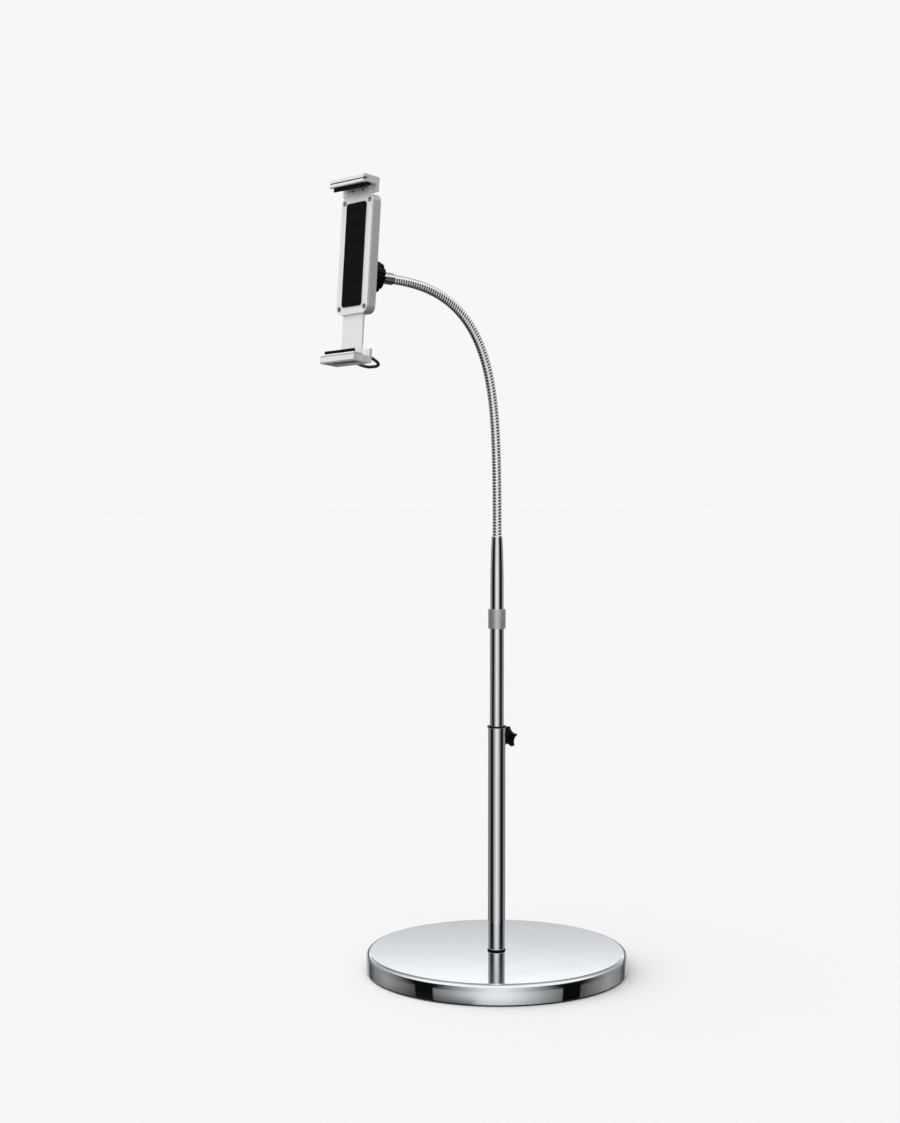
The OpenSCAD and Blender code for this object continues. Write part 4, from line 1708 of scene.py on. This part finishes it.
    def build(self) -> None:
        """Make the holder's pieces."""
        for node, name, finish, body, width in (
            ("back_shell", "shell", Finishes.SHELL, "holder", 0.9),
            ("main_plate", "plate", Finishes.SILVER, "holder", 0.4),
            ("front_sheet", "sheet", Finishes.RUBBER, "holder", 0.45),
            ("upper_claw_pad", "top_claw_pad", Finishes.RUBBER, "holder", 0.4),
            ("lower_arm", "arm", Finishes.SILVER, "clamp", 0.35),
            ("lower_claw_pad", "bottom_claw_pad", Finishes.RUBBER, "clamp", 0.4),
        ):
            Shape.softened(node, width).piece(name, finish, body, [node])
        upper = self.claw("upper_claw", self.upper_line, self.upper_line_shade)
        upper.piece("top_claw", Finishes.SILVER, "holder", ["upper_claw"])
        self.lower_claw().piece("bottom_claw", Finishes.SILVER, "clamp", ["lower_claw"])
        self.fasteners()
        facing = self.facing()
        self.handle().piece("pull_loop", Finishes.WIRE, "clamp", ["pull_handle"], facing)
        seams = (
            "clamp",
            facing @ Vector((self.spring_x, self.spring_high, self.spring_depth)),
            facing @ Vector((self.spring_x, self.spring_low, self.spring_depth)),
        )
        self.spring().piece("spring", Finishes.STEEL, "holder", ["clamp_spring"], facing, seams=seams)
        dress(Finishes.STEEL, "top_post", "arm_post")


# Levels of the soft boxes, by degrees from the camera's side: near the floor, at mid height and at eye level.
LOW_BOXES = (
    (0, 0.935),
    (8, 0.90),
    (16, 0.81),
    (41, 0.37),
    (57.5, 0.20),
    (58.6, 0.004),
    (76, 0.004),
    (77.5, 0.09),
    (114, 0.35),
    (157, 0.10),
    (180, 0.08),
)
HIGH_BOXES = (
    (0, 0.92),
    (6, 0.90),
    (28, 0.46),
    (40, 0.25),
    (53, 0.04),
    (56, 0.005),
    (78, 0.005),
    (84, 0.05),
    (112, 0.30),
    (135, 0.26),
    (180, 0.12),
)
TOP_BOXES = (
    (0, 0.93),
    (8, 0.90),
    (16, 0.80),
    (36, 0.28),
    (48, 0.01),
    (82, 0.005),
    (98, 0.20),
    (115, 0.36),
    (136, 0.38),
    (180, 0.2),
)
# Levels of the sky in front and behind, by degrees above the horizon.
FRONT_SKY = ((0, 0.28), (17, 0.28), (25, 1.1), (70, 1.1), (82, 0.5), (90, 0.5))
BACK_SKY = (
    (-12, 0.06),
    (0, 0.12),
    (10, 0.15),
    (13.4, 0.65),
    (14.4, 0.80),
    (15.4, 1.12),
    (16.1, 1.14),
    (17.2, 0.60),
    (22, 0.50),
    (28, 0.30),
    (36, 0.16),
    (50, 0.36),
    (70, 0.45),
)


@dataclass
class Studio:
    """Pale floor, even light and the camera at the photograph's angle.

    Spans give where a change starts and where it is complete: in degrees round the stand, in degrees above or below
    the horizon, or as the share of a direction that points one way.

    Attributes:
        azimuth: degrees from the front to the camera's side.
        pitch: degrees by which the camera looks down.
        away: distance of the camera.
        height: height of the camera.
        aside: offset of the camera to the right.
        focal_px: focal length in pixels of the frame.
        frame_w: width of the frame in pixels.
        frame_h: height of the frame in pixels.
        sensor: width of the camera's sensor.
        clip_end: distance in metres up to which the camera sees.
        floor_level: brightness of the open floor and the backdrop.
        floor_light: soft light that falls on the open floor.
        floor_r: radius of the floor in metres.
        floor_drop: gap in metres under the stand.
        fill: soft light from all sides.
        key: soft light added from the key's side.
        key_side: direction of the key.
        shade: soft light taken away on the dark side.
        dark_side: direction of the dark side.
        under: share of the soft light that is missing below.
        under_span: downward share over which it goes missing.
        low_edge: height at which the low boxes give way to the high ones.
        high_edge: height at which the high boxes give way to the top ones.
        dim: share that the boxes lose near the floor.
        dim_span: depth over which they lose it.
        ceiling: height at which the boxes give way to the sky.
        flank: angle round the stand at which the front sky gives way to the side sky.
        side_sky: brightness of the side sky.
        rear: angle round the stand at which the rear starts.
        strip: brightness of the upright strip behind the stand.
        strip_span: rearward share over which the strip sets in.
        strip_depth: depth over which the strip sets in.
        dark_floor: brightness of the floor in the mirrors.
        lit_floor: brightness added on the camera's side.
        lit_span: forward share over which the lit floor sets in.
        floor_depth: depth over which the floor sets in.
        flag_span: leftward share over which the dark flag on the left sets in.
        flag_depth: depth over which the flag sets in.
    """

    azimuth: float = 45.5
    pitch: float = 3.46
    away: float = 2275.0
    height: float = 610.0
    aside: float = -53.6
    focal_px: float = 2000.0
    frame_w: int = 900
    frame_h: int = 1123
    sensor: float = 36.0
    clip_end: float = 100.0
    floor_level: float = 0.93
    floor_light: float = 1.1168
    floor_r: float = 15.0
    floor_drop: float = 0.0004
    fill: float = 0.75
    key: float = 1.0
    key_side: Point = (-0.35, -0.70, 0.62)
    shade: float = 0.45
    dark_side: Point = (0.8, 0.6, 0.0)
    under: float = 0.95
    under_span: Span = (0.0, 0.4)
    low_edge: Span = (-14.8, -14.0)
    high_edge: Span = (-6.2, -4.8)
    dim: float = 0.28
    dim_span: Span = (15.8, 20.5)
    ceiling: Span = (13.6, 19.0)
    flank: Span = (85.0, 125.0)
    side_sky: float = 0.55
    rear: Span = (134.0, 152.0)
    strip: float = 0.55
    strip_span: Span = (0.82, 0.95)
    strip_depth: Span = (-6.0, 2.0)
    dark_floor: float = 0.02
    lit_floor: float = 0.66
    lit_span: Span = (0.22, 0.48)
    floor_depth: Span = (22.0, 40.0)
    flag_span: Span = (0.18, 0.40)
    flag_depth: Span = (14.5, 24.0)

    def towards_camera(self) -> Vector:
        """Level direction from the stand to the camera."""
        turn = math.radians(self.azimuth)
        return Vector((math.sin(turn), -math.cos(turn), 0.0))

    def to_the_right(self) -> Vector:
        """Level direction to the right in the picture."""
        turn = math.radians(self.azimuth)
        return Vector((math.cos(turn), math.sin(turn), 0.0))

    def camera(self) -> None:
        """Set up the camera."""
        spot = self.towards_camera() * self.away + self.to_the_right() * self.aside + Vector((0, 0, self.height))
        dip = math.radians(self.pitch)
        ahead = -self.towards_camera() * math.cos(dip) - Vector(UP) * math.sin(dip)
        data = bpy.data.cameras.new("camera")
        data.sensor_width = self.sensor
        data.lens = self.focal_px / max(self.frame_w, self.frame_h) * self.sensor
        data.clip_end = self.clip_end
        made = bpy.data.objects.new("camera", data)
        bpy.context.scene.collection.objects.link(made)
        made.location = spot * MM
        made.rotation_mode = "QUATERNION"
        made.rotation_quaternion = ahead.to_track_quat("-Z", "Y")
        bpy.context.scene.camera = made

    def floor(self) -> None:
        """Lay a wide pale floor that keeps the shadow and stays out of the mirrors."""
        bm = bmesh.new()
        bmesh.ops.create_circle(bm, cap_ends=True, segments=96, radius=self.floor_r)
        bmesh.ops.translate(bm, vec=(0, 0, -self.floor_drop), verts=bm.verts[:])
        mesh = bpy.data.meshes.new("floor")
        bm.to_mesh(mesh)
        bm.free()
        pale = bpy.data.materials.new("pale_floor")
        pale.use_nodes = True
        level = self.floor_level / self.floor_light
        Graph(pale.node_tree).surface(
            {"Base Color": (level, level, level, 1.0), "Roughness": 1.0, "Specular IOR Level": 0.0}, {}
        )
        mesh.materials.append(pale)
        made = bpy.data.objects.new("floor", mesh)
        bpy.context.scene.collection.objects.link(made)
        made.visible_glossy = False
        made.visible_diffuse = False

    def light(self) -> None:
        """Light the stand from a soft dome; mirrors see soft boxes with dark flags between them."""
        world = bpy.data.worlds.new("studio")
        bpy.context.scene.world = world
        world.use_nodes = True
        world.cycles.sampling_method = "NONE"
        graph = Graph(world.node_tree)
        camera = graph.node("ShaderNodeLightPath", {}, {}, "Is Camera Ray")
        glossy = graph.node("ShaderNodeLightPath", {}, {}, "Is Glossy Ray")
        around = graph.between(glossy, self.dome(graph), self.mirrored(graph))
        seen = graph.between(camera, around, self.floor_level)
        backdrop = graph.node("ShaderNodeBackground", {}, {"Color": (1.0, 1.0, 1.0, 1.0), "Strength": seen})
        graph.node("ShaderNodeOutputWorld", {}, {"Surface": backdrop})

    def mirrored(self, graph: Graph) -> Signal:
        """Brightness that mirrors see, by angle from the camera's side and by height above the horizon.

        Args:
            graph: the world's node tree.

        Returns:
            The brightness.
        """
        sight = graph.node("ShaderNodeTexCoord", output="Generated")
        level = graph.node("ShaderNodeVectorMath", {"operation": "MULTIPLY"}, {0: sight, 1: (1.0, 1.0, 0.0)})
        level = graph.node("ShaderNodeVectorMath", {"operation": "NORMALIZE"}, {0: level})
        ahead = tuple(self.towards_camera())
        around = graph.node("ShaderNodeMath", {"operation": "ARCCOSINE"}, {0: graph.dot(level, ahead)}) * DEGREES
        rise = graph.node("ShaderNodeSeparateXYZ", {}, {"Vector": sight}, "Z")
        climb = graph.node("ShaderNodeMath", {"operation": "ARCSINE"}, {0: rise}) * DEGREES

        high = graph.window(climb, *self.low_edge)
        boxes = graph.between(high, graph.ramp(around, LOW_BOXES), graph.ramp(around, HIGH_BOXES))
        boxes = graph.between(graph.window(climb, *self.high_edge), boxes, graph.ramp(around, TOP_BOXES))
        boxes = boxes * (1.0 - self.dim * graph.window(-climb, *self.dim_span))
        sky = graph.between(graph.window(around, *self.flank), graph.ramp(climb, FRONT_SKY), self.side_sky)
        front = graph.between(graph.window(climb, *self.ceiling), boxes, sky)
        lit = graph.between(graph.window(around, *self.rear), front, graph.ramp(climb, BACK_SKY))

        forward = graph.dot(sight, ahead)
        strip = graph.window(-forward, *self.strip_span) * graph.window(-climb, *self.strip_depth)
        flag = graph.window(graph.dot(sight, tuple(-self.to_the_right())), *self.flag_span)
        below = self.dark_floor + self.lit_floor * graph.window(forward, *self.lit_span) * (1.0 - flag)
        early = graph.window(-climb, *self.flag_depth) * flag
        ground = graph.larger(graph.window(-climb, *self.floor_depth), early)
        return graph.between(ground, lit + self.strip * strip, below)

    def dome(self, graph: Graph) -> Signal:
        """Brightness of the soft light: strong from the upper front, weak from the rear right and from below.

        Args:
            graph: the world's node tree.

        Returns:
            The brightness.
        """
        sight = graph.node("ShaderNodeTexCoord", output="Generated")
        key_side = tuple(Vector(self.key_side).normalized())
        lit = self.fill + self.key * graph.larger(graph.dot(sight, key_side), 0.0)
        lit = lit - self.shade * graph.larger(graph.dot(sight, self.dark_side), 0.0)
        rise = graph.node("ShaderNodeSeparateXYZ", {}, {"Vector": sight}, "Z")
        return lit * (1.0 - self.under * graph.window(-rise, *self.under_span))

    def build(self) -> None:
        """Set up the camera, the floor and the light."""
        self.camera()
        self.floor()
        self.light()
        bpy.context.scene.view_settings.view_transform = "Standard"


def write_sizes() -> None:
    """Bring the view layer up to date."""
    bpy.context.view_layer.update()


def main() -> None:
    """Build the stand in order, from the floor up, and its studio."""
    logging.basicConfig(level=logging.INFO, format="%(name)s: %(message)s")
    Studio().build()
    Base().build()
    Pole().build()
    Coupling().build()
    neck = Neck()
    neck.build()
    BallJoint(neck).build()
    Holder(neck).build()
    write_sizes()


if __name__ == "__main__":
    main()
